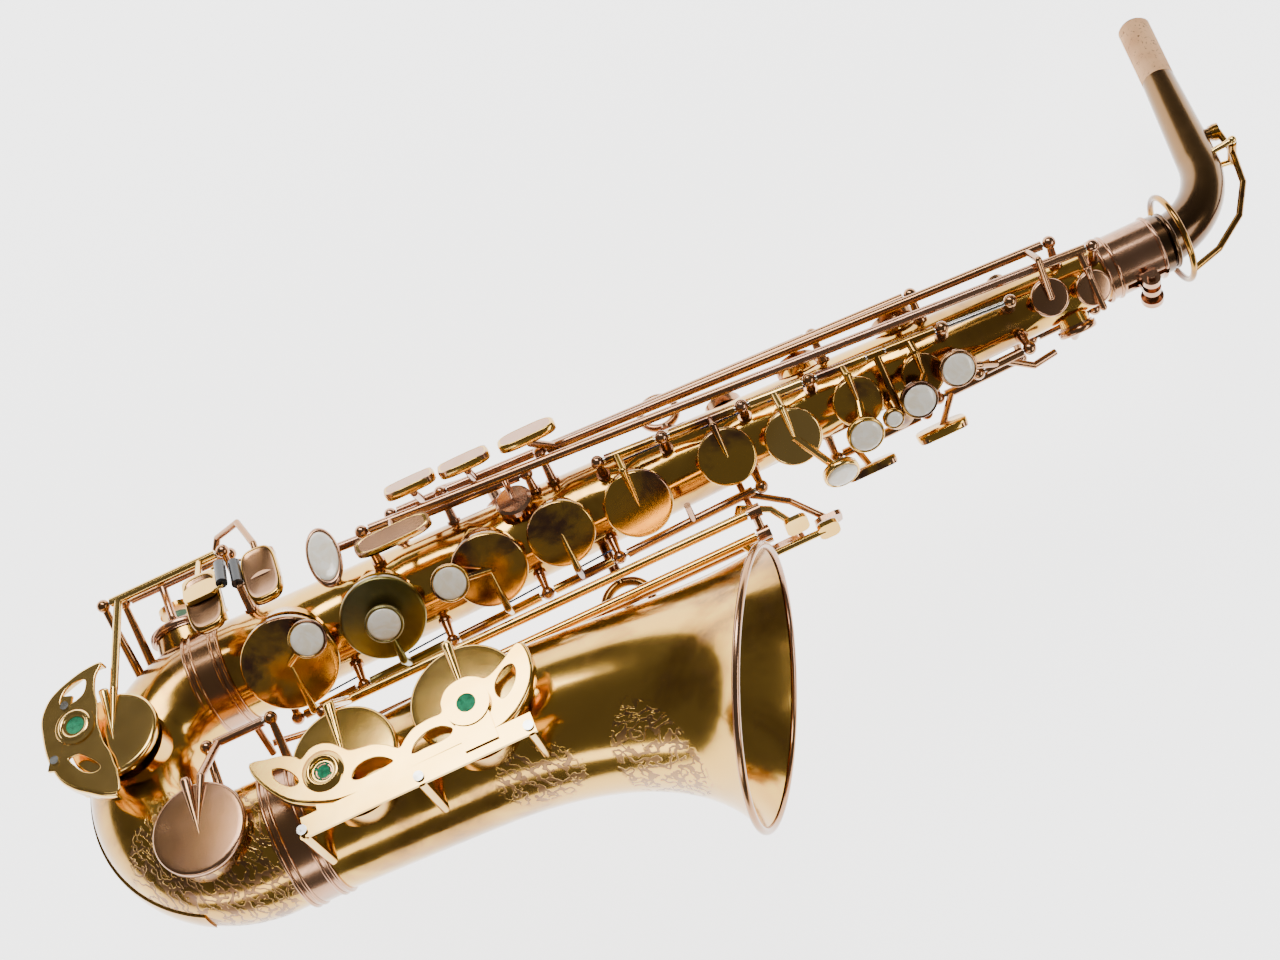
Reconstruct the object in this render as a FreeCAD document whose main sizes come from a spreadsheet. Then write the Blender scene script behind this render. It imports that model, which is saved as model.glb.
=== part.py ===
import FreeCAD, Part
import math
import os

# An alto saxophone stood upright.  +Z runs up the body tube to the neck, -Y is the side of the
# bell and -X is the player's right.  Points are first worked out about the body tube's axis, with
# height zero at the ferrule between body and bow; BASE then puts the origin in the strap ring.

doc = FreeCAD.newDocument("saxophone")
sheet = doc.addObject("Spreadsheet::Sheet", "sizes")

SIZES = {
    "body_foot_radius": 24.0, "body_head_radius": 13.4, "body_tall": 452.0, "wall": 0.9,
    "bow_spread": 92.0, "bow_bell_radius": 30.0, "bell_start": 18.0,
    "bell_straight": 100.0, "bell_bend": 278.0, "bell_lean": 27.0,
    "bell_slope": 0.0345, "bell_flare": 23.0, "flare_reach": 33.0, "rim_wire": 1.7,
    "receiver_radius": 14.6, "receiver_tall": 29.0, "tenon_radius": 12.2, "fit_gap": 0.05,
    "neck_bend": 40.0, "neck_foot_radius": 11.6, "neck_turn": 80.5, "neck_run": 54.8,
    "neck_tip_radius": 6.6,
    "cork_radius": 7.9, "cork_long": 38.0,
    "rod_radius": 1.1, "hinge_radius": 2.2, "ball_radius": 3.1, "post_radius": 1.6,
    "rim_rise": 3.0, "chimney_inset": 1.9, "pad_gap": 0.15, "pad_thick": 2.2, "cup_rise": 3.4,
    "cup_wall": 0.9, "cup_bevel": 1.0, "arm_root": 1.9, "arm_tip": 0.9,
    "pearl_radius": 7.3, "holder_wall": 1.2, "holder_tall": 2.6, "pearl_tall": 2.2,
    "stack_rise": 11.0, "open_angle": 10.0, "bell_open_angle": 5.5, "low_c_open_angle": 5.0,
    "ring_height": 235.0, "ring_out": 33.0, "ring_hole": 7.0, "ring_wire": 2.0,
    "guard_thick": 1.6, "guard_rise": 13.5, "felt_radius": 4.2, "felt_tall": 2.5,
    "ferrule_wall": 0.8, "ferrule_half": 9.0, "ferrule_rib": 0.9,
    "screw_radius": 2.0, "touch_thick": 2.4, "touch_corner": 3.2,
    "roller_radius": 2.7, "roller_pin": 0.6,
    "hook_gap": 24.0, "rest_radius": 9.0,
}

# Tone holes on the body tube: height, azimuth from the bell side towards the player's right,
# and the radius of the key cup over it.
BODY_HOLES = {
    "d": (38.0, 49.0, 22.0), "e": (84.0, 50.0, 19.3), "f": (136.0, 48.0, 17.5),
    "f_sharp": (172.0, 50.0, 15.5), "g_sharp": (209.0, 39.0, 15.8), "g": (254.0, 44.0, 13.3),
    "a": (285.0, 33.0, 13.1), "c": (318.0, 38.0, 11.4), "b": (350.0, 34.0, 9.8),
    "bis": (334.0, -12.0, 6.0), "high_e": (417.0, 53.0, 8.7), "high_fs": (437.0, 40.0, 8.2),
    "palm_d": (341.0, -100.0, 9.8), "palm_eb": (386.0, -112.0, 9.0), "palm_f": (427.0, -36.0, 9.0),
    "side_c": (352.0, 163.0, 10.6), "side_bb": (303.0, 173.0, 10.6), "octave": (404.0, -176.0, 4.6),
    "trill_fs": (158.0, 98.0, 8.6),
}
for hole, (height, azimuth, cup) in BODY_HOLES.items():
    SIZES[hole + "_height"] = height
    SIZES[hole + "_azimuth"] = azimuth
    SIZES[hole + "_cup"] = cup

# Tone holes on the bow and the bell: how far along, which way they face, and the cup's radius.
SIZES.update({
    "low_eb_round": 12.0, "low_eb_azimuth": 168.0, "low_eb_cup": 16.5,
    "low_c_round": 68.0, "low_c_cup": 20.5,
    "low_cs_round": 158.0, "low_cs_cup": 21.0,
    "low_b_height": 53.0, "low_b_azimuth": 87.0, "low_b_cup": 23.5,
    "low_bb_height": 110.0, "low_bb_azimuth": 87.0, "low_bb_cup": 24.5,
})

for row, (alias, value) in enumerate(SIZES.items(), start=1):
    sheet.set("A%d" % row, alias)
    sheet.set("B%d" % row, str(value))
    sheet.setAlias("B%d" % row, alias)
doc.recompute()


def size(alias):
    """The number that the sheet holds under this alias."""
    return float(sheet.get(alias))


VECTOR = FreeCAD.Vector
UP = VECTOR(0, 0, 1)
BASE = FreeCAD.Placement(VECTOR(0, -size("ring_out"), -size("ring_height")), FreeCAD.Rotation())
BOW_RADIUS = size("bow_spread") / 2
NODES = []


def outward(azimuth):
    """The level direction that points away from an upright axis at this azimuth."""
    turn = math.radians(azimuth)
    return VECTOR(-math.sin(turn), -math.cos(turn), 0)


def body_radius(height):
    """The body tube's outer radius, which falls evenly from foot to head."""
    share = height / size("body_tall")
    return size("body_foot_radius") + share * (size("body_head_radius") - size("body_foot_radius"))


def on_body(height, azimuth, rise):
    """A point this far out from the body tube's surface."""
    return outward(azimuth) * (body_radius(height) + rise) + UP * height


def bow_radius(around):
    """The bow's outer radius, around degrees past the body ferrule."""
    grown = size("bow_bell_radius") - size("body_foot_radius")
    return size("body_foot_radius") + grown * around / 180.0


def bow_centre(around):
    """The bow's centre line is half a circle under the body and the bell."""
    turn = math.radians(around)
    return VECTOR(0, BOW_RADIUS * (math.cos(turn) - 1), -BOW_RADIUS * math.sin(turn))


def bell_arc_length():
    """The bell's centre line, from the bow's level to the rim."""
    return size("bell_straight") + size("bell_bend") * math.radians(size("bell_lean"))


def bell_centre(along):
    """The bell's centre line runs straight up and then leans forward on an arc."""
    straight = size("bell_straight")
    if along <= straight:
        return VECTOR(0, -size("bow_spread"), along)
    lean = (along - straight) / size("bell_bend")
    ahead = size("bell_bend") * (1 - math.cos(lean))
    risen = size("bell_bend") * math.sin(lean)
    return VECTOR(0, -size("bow_spread") - ahead, straight + risen)


def bell_lean(along):
    """How far the bell's centre line leans forward there, in degrees."""
    return math.degrees(max(0.0, along - size("bell_straight")) / size("bell_bend"))


def bell_radius(along):
    """The bell widens evenly, and an exponential flare opens it at the rim."""
    flare = math.exp((along - bell_arc_length()) / size("flare_reach"))
    return size("bow_bell_radius") + size("bell_slope") * along + size("bell_flare") * flare


def facing(point, normal, upward=UP):
    """A placement at point, with local Z along normal and local X as near upward as can be."""
    sideways = normal.cross(upward)
    sideways.normalize()
    along = sideways.cross(normal)
    return FreeCAD.Placement(point, FreeCAD.Rotation(along, sideways, normal, "ZXY"))


def primitive(kind, name, formulas, place):
    """A Part primitive whose sizes are bound to formulas."""
    item = doc.addObject("Part::" + kind, name)
    for side, formula in formulas.items():
        item.setExpression(side, formula)
    item.Placement = place
    return item


def disc(name, point, normal, radius, thick, upward=UP):
    """A round disc that stands on point and rises along normal."""
    return primitive("Cylinder", name, {"Radius": radius, "Height": thick},
                     facing(point, normal, upward))


def strut(name, start, end, radius, end_radius=None):
    """A round bar from start to end, tapered when it has a second radius."""
    run = end - start
    normal = VECTOR(run)
    normal.normalize()
    upward = UP if abs(normal.z) < 0.9 else VECTOR(1, 0, 0)
    place = facing(start, normal, upward)
    reach = "%.4f" % run.Length
    if end_radius is None:
        return primitive("Cylinder", name, {"Radius": radius, "Height": reach}, place)
    return primitive("Cone", name, {"Radius1": radius, "Radius2": end_radius, "Height": reach}, place)


def ball(name, point, radius, along=UP):
    """A sphere about point, its poles on the line along."""
    normal = VECTOR(along)
    normal.normalize()
    upward = VECTOR(1, 0, 0) if abs(normal.x) < 0.9 else UP
    return primitive("Sphere", name, {"Radius": radius}, facing(point, normal, upward))


def fuse(name, pieces):
    """All the pieces as one solid."""
    if len(pieces) == 1:
        return pieces[0]
    item = doc.addObject("Part::MultiFuse", name)
    item.Shapes = pieces
    return item


def cut(name, base, tool):
    """Base with tool taken away."""
    item = doc.addObject("Part::Cut", name)
    item.Base = base
    item.Tool = tool
    return item


def group(name, pieces):
    """Separate solids that share one node."""
    item = doc.addObject("Part::Compound", name)
    item.Links = pieces
    return item


def node(name, item, motion=None):
    """Names a finished sub-part and puts it in the shared frame, turned by motion if it has one."""
    item.Label = name
    moved = BASE.multiply(motion) if motion else BASE
    item.Placement = moved.multiply(item.Placement)
    NODES.append(item)


def bar_path(name, points, radius):
    """Bars from point to point with a ball in each corner, for one fused wire shape."""
    pieces = []
    for index in range(len(points) - 1):
        pieces.append(strut("%s_bar%d" % (name, index), points[index], points[index + 1], radius))
    for index in range(1, len(points) - 1):
        pieces.append(ball("%s_knee%d" % (name, index), points[index], radius))
    return pieces


def round_tube(name, stations, shrink):
    """A loft through circles: stations hold centre, direction and radius."""
    rings = []
    for index, (centre, direction, radius) in enumerate(stations):
        ring = doc.addObject("Part::Circle", "%s_ring%d" % (name, index))
        ring.setExpression("Radius", "%.4f - %s" % (radius, shrink))
        ring.Placement = facing(centre, direction, VECTOR(1, 0, 0))
        rings.append(ring)
    loft = doc.addObject("Part::Loft", name)
    loft.Sections = rings
    loft.Solid = True
    return loft


# ---------------------------------------------------------------------------- tone holes

class Hole:
    """A tone hole: an axis point, the way it faces, the tube's radius there and its cup."""

    def __init__(self, name, centre, normal, tube_radius, upward=UP):
        self.name = name
        self.centre = centre
        self.normal = normal
        self.tube = tube_radius
        self.upward = upward
        self.cup = "sizes.%s_cup" % name
        self.rim = tube_radius + size("rim_rise")

    def point(self, rise, along=0.0, aside=0.0):
        """A point this far above the rim, and aside of the hole's middle."""
        sideways = self.normal.cross(self.upward)
        sideways.normalize()
        lengthwise = sideways.cross(self.normal)
        return self.centre + self.normal * (self.rim + rise) + lengthwise * along + sideways * aside

    def chimney(self):
        """The collar that stands on the tube."""
        return disc(self.name + "_collar", self.centre, self.normal,
                    self.cup + " - sizes.chimney_inset", "%.4f" % self.rim, self.upward)

    def bore(self):
        """The hole through collar and wall."""
        return disc(self.name + "_bore", self.centre, self.normal,
                    self.cup + " - sizes.chimney_inset - sizes.wall",
                    "%.4f + 2" % self.rim, self.upward)


def body_hole(name):
    """A tone hole on the body tube, by its sheet sizes."""
    height = size(name + "_height")
    return Hole(name, UP * height, outward(size(name + "_azimuth")), body_radius(height))


def bow_hole(name, normal):
    """A tone hole on the bow."""
    around = size(name + "_round")
    turn = math.radians(around)
    upward = VECTOR(0, math.sin(turn), math.cos(turn))
    return Hole(name, bow_centre(around), normal, bow_radius(around), upward)


def bell_hole(name):
    """A tone hole on the bell's straight stretch."""
    height = size(name + "_height")
    return Hole(name, bell_centre(height), outward(size(name + "_azimuth")), bell_radius(height))


HOLES = {name: body_hole(name) for name in BODY_HOLES}
HOLES["low_eb"] = bow_hole("low_eb", outward(size("low_eb_azimuth")))
HOLES["low_c"] = bow_hole("low_c", VECTOR(-1, 0, 0))
HOLES["low_cs"] = bow_hole("low_cs", VECTOR(-1, 0, 0))
HOLES["low_b"] = bell_hole("low_b")
HOLES["low_bb"] = bell_hole("low_bb")


# ---------------------------------------------------------------------------- tubes

def shell(name, outer, inner, holes):
    """A tube with a collar round each tone hole, hollow right through."""
    skin = fuse(name + "_skin", [outer] + [hole.chimney() for hole in holes])
    core = fuse(name + "_core", [inner] + [hole.bore() for hole in holes])
    return cut(name, skin, core)


def build_body():
    """The long conical body tube."""
    upright = FreeCAD.Placement(VECTOR(0, 0, 0), FreeCAD.Rotation())
    outer = primitive("Cone", "body_outer", {
        "Radius1": "sizes.body_foot_radius", "Radius2": "sizes.body_head_radius",
        "Height": "sizes.body_tall"}, upright)
    inner = primitive("Cone", "body_inner", {
        "Radius1": "sizes.body_foot_radius - sizes.wall",
        "Radius2": "sizes.body_head_radius - sizes.wall", "Height": "sizes.body_tall"}, upright)
    node("body_tube", shell("body_tube", outer, inner, [HOLES[name] for name in BODY_HOLES]))


def bow_solid(name, shrink):
    """The bow's outer or inner shape: a lofted half circle and a short straight end."""
    stations = []
    for around in range(0, 181, 15):
        turn = math.radians(around)
        direction = VECTOR(0, -math.sin(turn), -math.cos(turn))
        stations.append((bow_centre(around), direction, bow_radius(around)))
    end = disc(name + "_end", bow_centre(180), UP, "sizes.bow_bell_radius - %s" % shrink,
               "sizes.bell_start", VECTOR(1, 0, 0))
    return fuse(name, [round_tube(name + "_loop", stations, shrink), end])


def build_bow():
    """The bow that joins body and bell."""
    holes = [HOLES["low_eb"], HOLES["low_c"], HOLES["low_cs"]]
    outer = bow_solid("bow_outer", "0")
    inner = bow_solid("bow_inner", "sizes.wall")
    node("bow_tube", shell("bow_tube", outer, inner, holes))


def bell_stations():
    """Circles along the bell, closer together where it flares."""
    start = size("bell_start")
    last = bell_arc_length()
    stations = []
    steps = 14
    for step in range(steps + 1):
        along = start + (last - start) * step / steps
        lean = math.radians(bell_lean(along))
        direction = VECTOR(0, -math.sin(lean), math.cos(lean))
        radius = bell_radius(along)
        if step == 0:
            radius = size("bow_bell_radius")
        stations.append((bell_centre(along), direction, radius))
    return stations


def build_bell():
    """The bell and the wire that its rim is rolled round."""
    outer = round_tube("bell_outer", bell_stations(), "0")
    inner = round_tube("bell_inner", bell_stations(), "sizes.wall")
    centre, direction, radius = bell_stations()[-1]
    formulas = {"Radius1": "%.4f" % radius, "Radius2": "sizes.rim_wire"}
    place = facing(centre, direction, VECTOR(1, 0, 0))
    node("bell_tube", shell("bell_tube", outer, inner, [HOLES["low_b"], HOLES["low_bb"]]))
    node("bell_rim_wire", primitive("Torus", "bell_rim_wire", formulas, place))


def ferrule(name, centre, radius):
    """A ribbed sleeve over the joint of two tubes."""
    low = centre - UP * size("ferrule_half")
    tall = "2 * sizes.ferrule_half"
    outer = [disc(name + "_sleeve", low, UP, "%.4f + sizes.ferrule_wall" % radius, tall,
                  VECTOR(1, 0, 0))]
    for index, share in enumerate((-0.9, -0.55, 0.55, 0.9)):
        place = facing(centre + UP * share * size("ferrule_half"), UP, VECTOR(1, 0, 0))
        outer.append(primitive("Torus", "%s_rib%d" % (name, index), {
            "Radius1": "%.4f + sizes.ferrule_wall" % radius, "Radius2": "sizes.ferrule_rib"}, place))
    bore = disc(name + "_bore", low - UP, UP, "%.4f" % radius, tall + " + 2",
                VECTOR(1, 0, 0))
    node(name, cut(name, fuse(name + "_outer", outer), bore))


def build_ferrules():
    """The sleeves at both ends of the bow."""
    ferrule("body_ferrule", VECTOR(0, 0, 0), size("body_foot_radius"))
    ferrule("bell_ferrule", bell_centre(size("bell_start")), bell_radius(size("bell_start")))


build_body()
build_bow()
build_bell()
build_ferrules()


# ---------------------------------------------------------------------------- neck

RECEIVER_TOP = size("body_tall") - 6.0 + size("receiver_tall")
NECK_FOOT = RECEIVER_TOP + 1.0


def neck_point(along):
    """The neck's centre line: a quarter bend and then a straight run to the tip."""
    bend = size("neck_bend")
    turn = min(along / bend, math.radians(size("neck_turn")))
    point = VECTOR(0, bend * (1 - math.cos(turn)), NECK_FOOT + bend * math.sin(turn))
    left = along - bend * turn
    return point + neck_direction(along) * left


def neck_direction(along):
    """The way the neck's centre line runs there."""
    turn = min(along / size("neck_bend"), math.radians(size("neck_turn")))
    return VECTOR(0, math.sin(turn), math.cos(turn))


NECK_ARC = size("neck_bend") * math.radians(size("neck_turn"))
NECK_LONG = NECK_ARC + size("neck_run") + size("cork_long")


def neck_radius(along):
    """The neck narrows evenly towards the tip."""
    foot = size("neck_foot_radius")
    return foot + (size("neck_tip_radius") - foot) * along / NECK_LONG


def neck_solid(name, shrink):
    """The neck's outer or inner shape: a lofted bend and a cone for the straight run."""
    steps = 6
    places = [NECK_ARC * step / steps for step in range(steps + 1)]
    bend = round_tube(name + "_bend", [
        (neck_point(along), neck_direction(along), neck_radius(along)) for along in places], shrink)
    run = NECK_LONG - NECK_ARC
    cone = primitive("Cone", name + "_run", {
        "Radius1": "%.4f - %s" % (neck_radius(NECK_ARC), shrink),
        "Radius2": "sizes.neck_tip_radius - %s" % shrink, "Height": "%.4f" % run},
        facing(neck_point(NECK_ARC), neck_direction(NECK_ARC), VECTOR(1, 0, 0)))
    return fuse(name, [bend, cone])


def build_receiver():
    """The split socket on the body's head, with two clamp lugs on the bell side."""
    foot = UP * (RECEIVER_TOP - size("receiver_tall"))
    sideways = VECTOR(1, 0, 0)
    outer = [disc("receiver_sleeve", foot, UP, "sizes.receiver_radius", "sizes.receiver_tall", sideways)]
    for index, height in enumerate((1.0, 6.0, size("receiver_tall") - 1.2)):
        outer.append(primitive("Torus", "receiver_rib%d" % index, {
            "Radius1": "sizes.receiver_radius", "Radius2": "sizes.ferrule_rib"},
            facing(foot + UP * height, UP, sideways)))
    lug_height = RECEIVER_TOP - 11.0
    for side in (-1, 1):
        middle = VECTOR(side * 3.2, -size("receiver_radius") - 3.5, lug_height)
        outer.append(strut("receiver_lug%d" % side, middle - VECTOR(1.6, 0, 0),
                           middle + VECTOR(1.6, 0, 0), "4.2"))
        block = primitive("Box", "receiver_web%d" % side,
                          {"Length": "3.2", "Width": "6", "Height": "8"},
                          FreeCAD.Placement(middle + VECTOR(-1.6, 0, -4), FreeCAD.Rotation()))
        outer.append(block)
    bore = disc("receiver_bore", foot + UP * 6.0, UP, "sizes.tenon_radius + sizes.fit_gap",
                "sizes.receiver_tall", sideways)
    seat = primitive("Cone", "receiver_seat", {
        "Radius1": "%.4f" % body_radius(foot.z - 10.0), "Radius2": "sizes.body_head_radius",
        "Height": "16"}, FreeCAD.Placement(foot - UP * 10.0, FreeCAD.Rotation()))
    slot = primitive("Box", "receiver_slot",
                     {"Length": "3.2", "Width": "14", "Height": "sizes.receiver_tall"},
                     FreeCAD.Placement(VECTOR(-1.6, -size("receiver_radius") - 10, foot.z + 8.0),
                                       FreeCAD.Rotation()))
    screw_hole = strut("receiver_screw_hole", VECTOR(-8, -size("receiver_radius") - 3.5, lug_height),
                       VECTOR(8, -size("receiver_radius") - 3.5, lug_height),
                       "sizes.screw_radius + sizes.fit_gap")
    tools = fuse("receiver_tools", [bore, seat, slot, screw_hole])
    node("neck_receiver", cut("neck_receiver", fuse("receiver_outer", outer), tools))
    return VECTOR(0, -size("receiver_radius") - 3.5, lug_height)


def build_neck():
    """The neck tube with its tenon and collar, and the cork on its tip."""
    sideways = VECTOR(1, 0, 0)
    tenon_foot = UP * (size("body_tall") + 0.4)
    tall = "%.4f" % (NECK_FOOT - tenon_foot.z + 0.5)
    outer = neck_solid("neck_outer", "0")
    tenon = disc("neck_tenon", tenon_foot, UP, "sizes.tenon_radius", tall, sideways)
    collar = disc("neck_collar", UP * (RECEIVER_TOP + 0.3), UP, "sizes.receiver_radius - 0.6",
                  "3.4", sideways)
    bead = primitive("Torus", "neck_bead", {"Radius1": "sizes.tenon_radius + 0.2",
                                            "Radius2": "1.3"},
                     facing(UP * (RECEIVER_TOP + 6.5), UP, sideways))
    inner = neck_solid("neck_inner", "sizes.wall")
    tenon_bore = disc("neck_tenon_bore", tenon_foot - UP, UP, "sizes.tenon_radius - sizes.wall",
                      tall + " + 1.2", sideways)
    vent_spot = neck_point(NECK_ARC + 14.0)
    rise = VECTOR(0, -math.cos(math.radians(size("neck_turn"))), math.sin(math.radians(size("neck_turn"))))
    vent = disc("neck_vent", vent_spot, rise, "3", "%.4f" % (neck_radius(NECK_ARC + 14.0) + 1.5),
                sideways)
    vent_bore = disc("neck_vent_bore", vent_spot, rise, "1.2", "14", sideways)
    solid = fuse("neck_solid", [outer, tenon, collar, bead, vent])
    hollow = fuse("neck_hollow", [inner, tenon_bore, vent_bore])
    node("neck_tube", cut("neck_tube", solid, hollow))
    start = NECK_LONG - size("cork_long")
    cork = disc("cork_sleeve", neck_point(start), neck_direction(start), "sizes.cork_radius",
                "sizes.cork_long - 1.5", sideways)
    core = primitive("Cone", "cork_core", {
        "Radius1": "%.4f" % neck_radius(start), "Radius2": "sizes.neck_tip_radius",
        "Height": "sizes.cork_long"}, facing(neck_point(start), neck_direction(start), sideways))
    node("neck_cork", cut("neck_cork", cork, core))
    return vent_spot + rise * (neck_radius(NECK_ARC + 14.0) + 1.5), rise


CLAMP_POINT = build_receiver()
VENT_TOP, VENT_RISE = build_neck()


def build_clamp_screw():
    """The thumb screw that closes the receiver."""
    head = disc("clamp_head", CLAMP_POINT + VECTOR(9, 0, 0), VECTOR(1, 0, 0), "5.2", "3")
    shank = strut("clamp_shank", CLAMP_POINT - VECTOR(7.5, 0, 0), CLAMP_POINT + VECTOR(9, 0, 0),
                  "sizes.screw_radius")
    shoulder = strut("clamp_shoulder", CLAMP_POINT + VECTOR(5.2, 0, 0), CLAMP_POINT + VECTOR(9.5, 0, 0),
                     "3")
    node("neck_clamp_screw", fuse("neck_clamp_screw", [head, shank, shoulder]))


build_clamp_screw()


# ---------------------------------------------------------------------------- rods and posts

def stack_point(height, azimuth, rise=None):
    """A point on a stack's rod, above the tube's surface."""
    return on_body(height, azimuth, size("stack_rise") if rise is None else rise)


RODS = {
    "lower": (stack_point(26.0, -8.0), stack_point(264.0, 0.0)),
    "upper": (stack_point(199.0, 91.0), stack_point(400.0, 67.0)),
    "side_e": (stack_point(176.0, 127.0, 15.0), stack_point(430.0, 110.0, 13.0)),
    "side_c": (stack_point(126.0, 139.0, 15.0), stack_point(364.0, 128.0, 13.0)),
    "side_bb": (stack_point(100.0, 150.0, 15.0), stack_point(316.0, 141.0, 13.0)),
    "high_fs": (stack_point(88.0, 112.0, 19.0), stack_point(446.0, 84.0, 12.0)),
    "trill": (stack_point(66.0, 128.0, 12.0), stack_point(170.0, 122.0, 9.0)),
    "low_b": (VECTOR(-9, -45, 40), VECTOR(-9, -45, 256)),
    "low_bb": (VECTOR(-2, -53, 96), VECTOR(-2, -53, 256)),
    "low_cs_long": (VECTOR(7, -50, 32), VECTOR(7, -50, 256)),
    "low_cs": (VECTOR(-24, -46, -10), VECTOR(-24, -46, 24)),
    "low_c": (VECTOR(-36, 40, -36), VECTOR(-36, 40, 28)),
    "low_eb": (VECTOR(-25, 45, -30), VECTOR(-25, 45, 28)),
    "palm_d": (stack_point(300.0, -60.0, 13.0), stack_point(351.0, -60.0, 13.0)),
    "palm_eb": (stack_point(356.0, -76.0, 14.0), stack_point(403.0, -76.0, 14.0)),
    "palm_f": (stack_point(407.0, -84.0, 9.0), stack_point(444.0, -84.0, 9.0)),
    "front_f": (stack_point(372.0, 6.0, 9.0), stack_point(402.0, 6.0, 9.0)),
    "octave": (stack_point(296.0, -150.0, 12.0), stack_point(416.0, -150.0, 12.0)),
}


def rod_at(rod, height):
    """The point of a rod at this height."""
    low, high = RODS[rod]
    return low + (high - low) * ((height - low.z) / (high.z - low.z))


def rod_axis(rod):
    """The rod's direction, from its low end to its high end."""
    low, high = RODS[rod]
    axis = high - low
    axis.normalize()
    return axis


POSTS = []


def body_post(name, rod, height):
    """A ball-topped post from the body tube to a rod."""
    top = rod_at(rod, height)
    azimuth = math.degrees(math.atan2(-top.x, -top.y))
    foot = on_body(height, azimuth, -0.4)
    POSTS.append(fuse(name, [
        strut(name + "_stem", foot, top, "sizes.post_radius + 0.7", "sizes.post_radius"),
        strut(name + "_foot", foot, on_body(height, azimuth, 1.0), "sizes.post_radius + 1.6"),
        ball(name + "_ball", top, "sizes.ball_radius", top - foot)]))


def free_post(name, foot, rod, height):
    """A ball-topped post from any foot point to a rod."""
    top = rod_at(rod, height)
    POSTS.append(fuse(name, [
        strut(name + "_stem", foot, top, "sizes.post_radius + 0.7", "sizes.post_radius"),
        ball(name + "_ball", top, "sizes.ball_radius", top - foot)]))


def bell_post(name, rod, height):
    """A post from the bell's back to a rod."""
    top = rod_at(rod, height)
    centre = bell_centre(height)
    aim = VECTOR(top.x - centre.x, top.y - centre.y, 0)
    aim.normalize()
    free_post(name, centre + aim * (bell_radius(height) - 0.4), rod, height)


def build_posts():
    """Every post that carries a rod."""
    for rod, heights in (
            ("lower", (27.0, 60.8, 106.0, 154.4, 191.0, 263.0)),
            ("upper", (200.0, 231.0, 269.5, 302.0, 366.0, 399.0)),
            ("side_e", (177.5, 428.0)), ("side_c", (128.0, 362.0)),
            ("side_bb", (102.0, 314.0)), ("high_fs", (90.0, 443.5)), ("trill", (68.0, 168.0)),
            ("palm_d", (302.0, 349.0)), ("palm_eb", (358.0, 401.0)), ("palm_f", (409.0, 442.0)),
            ("front_f", (374.0, 400.0)), ("octave", (298.0, 414.0)),
            ("low_c", (26.0,)), ("low_eb", (26.0,))):
        for height in heights:
            body_post("post_%s_%d" % (rod, height), rod, height)
    bell_post("post_low_b", "low_b", 42.0)
    bell_post("post_low_bb", "low_bb", 98.0)
    bell_post("post_low_cs_long", "low_cs_long", 34.0)
    bell_post("post_low_cs_top", "low_cs", 22.5)
    free_post("post_low_cs_foot", VECTOR(-20.5, -69.5, -8.5), "low_cs", -8.5)
    free_post("post_low_c_foot", VECTOR(-8, 14, -34.5), "low_c", -34.5)
    free_post("post_low_eb_foot", VECTOR(-6, 17, -28.5), "low_eb", -28.5)
    table_height = 254.5
    foot = on_body(table_height, -20.0, -0.4)
    corners = [foot] + [rod_at(rod, table_height) for rod in ("low_cs_long", "low_bb", "low_b")]
    bracket = []
    for index, corner in enumerate(corners[1:]):
        bracket.append(strut("table_bracket_bar%d" % index, corners[index], corner, "sizes.post_radius"))
        bracket.append(disc("table_bracket_eye%d" % index, corner - UP * 3, UP, "sizes.ball_radius", "6",
                            VECTOR(1, 0, 0)))
    POSTS.append(fuse("table_bracket", bracket))
    node("key_posts", group("key_posts", POSTS))


def build_rods():
    """The steel rods that the keys turn on."""
    rods = [strut("rod_" + name, low, high, "sizes.rod_radius") for name, (low, high) in RODS.items()]
    node("pivot_rods", group("pivot_rods", rods))


build_posts()
build_rods()


# ---------------------------------------------------------------------------- keys

def hinge(name, rod, low, high):
    """The tube on a rod and the bore that runs through it."""
    tube = strut(name + "_tube", rod_at(rod, low), rod_at(rod, high), "sizes.hinge_radius")
    axis = rod_axis(rod)
    bore = strut(name + "_tube_bore", rod_at(rod, low) - axis * 3, rod_at(rod, high) + axis * 3,
                 "sizes.rod_radius + sizes.fit_gap")
    return tube, bore


CUP_TOP = size("pad_gap") + size("cup_rise") + size("cup_bevel")


def cup_pieces(hole):
    """A key cup over its tone hole with its pad in it, closed on the rim."""
    name = hole.name
    gap = size("pad_gap")
    lift = 0.8
    wall = disc(name + "_cup_wall", hole.point(gap + lift), hole.normal, hole.cup,
                "sizes.cup_rise - %.2f" % lift, hole.upward)
    top = primitive("Cone", name + "_cup_top", {
        "Radius1": hole.cup, "Radius2": hole.cup + " * 0.84", "Height": "sizes.cup_bevel"},
        facing(hole.point(gap + size("cup_rise")), hole.normal, hole.upward))
    seat = disc(name + "_cup_seat", hole.point(gap), hole.normal, hole.cup + " - sizes.cup_wall",
                "sizes.pad_thick", hole.upward)
    pad = disc(name + "_pad", hole.point(gap), hole.normal, hole.cup + " - sizes.cup_wall",
               "sizes.pad_thick", hole.upward)
    cup = cut(name + "_cup", fuse(name + "_cup_solid", [wall, top]), seat)
    return cup, pad


def cup_arm(hole, rod, height=None):
    """A spine from the rod over the cup's edge to its middle."""
    start = rod_at(rod, hole.centre.z if height is None else height)
    middle = hole.point(CUP_TOP - 0.3)
    level = start - middle
    level = level - hole.normal * level.dot(hole.normal)
    reach = min(level.Length, size(hole.name + "_cup") + 2.0)
    level.normalize()
    knee = middle + level * reach + hole.normal * 1.5
    name = hole.name
    return [strut(name + "_arm_up", start, knee, "sizes.arm_root"),
            ball(name + "_arm_knee", knee, "sizes.arm_root"),
            strut(name + "_arm_over", knee, middle, "sizes.arm_root", "sizes.arm_tip")]


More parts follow.
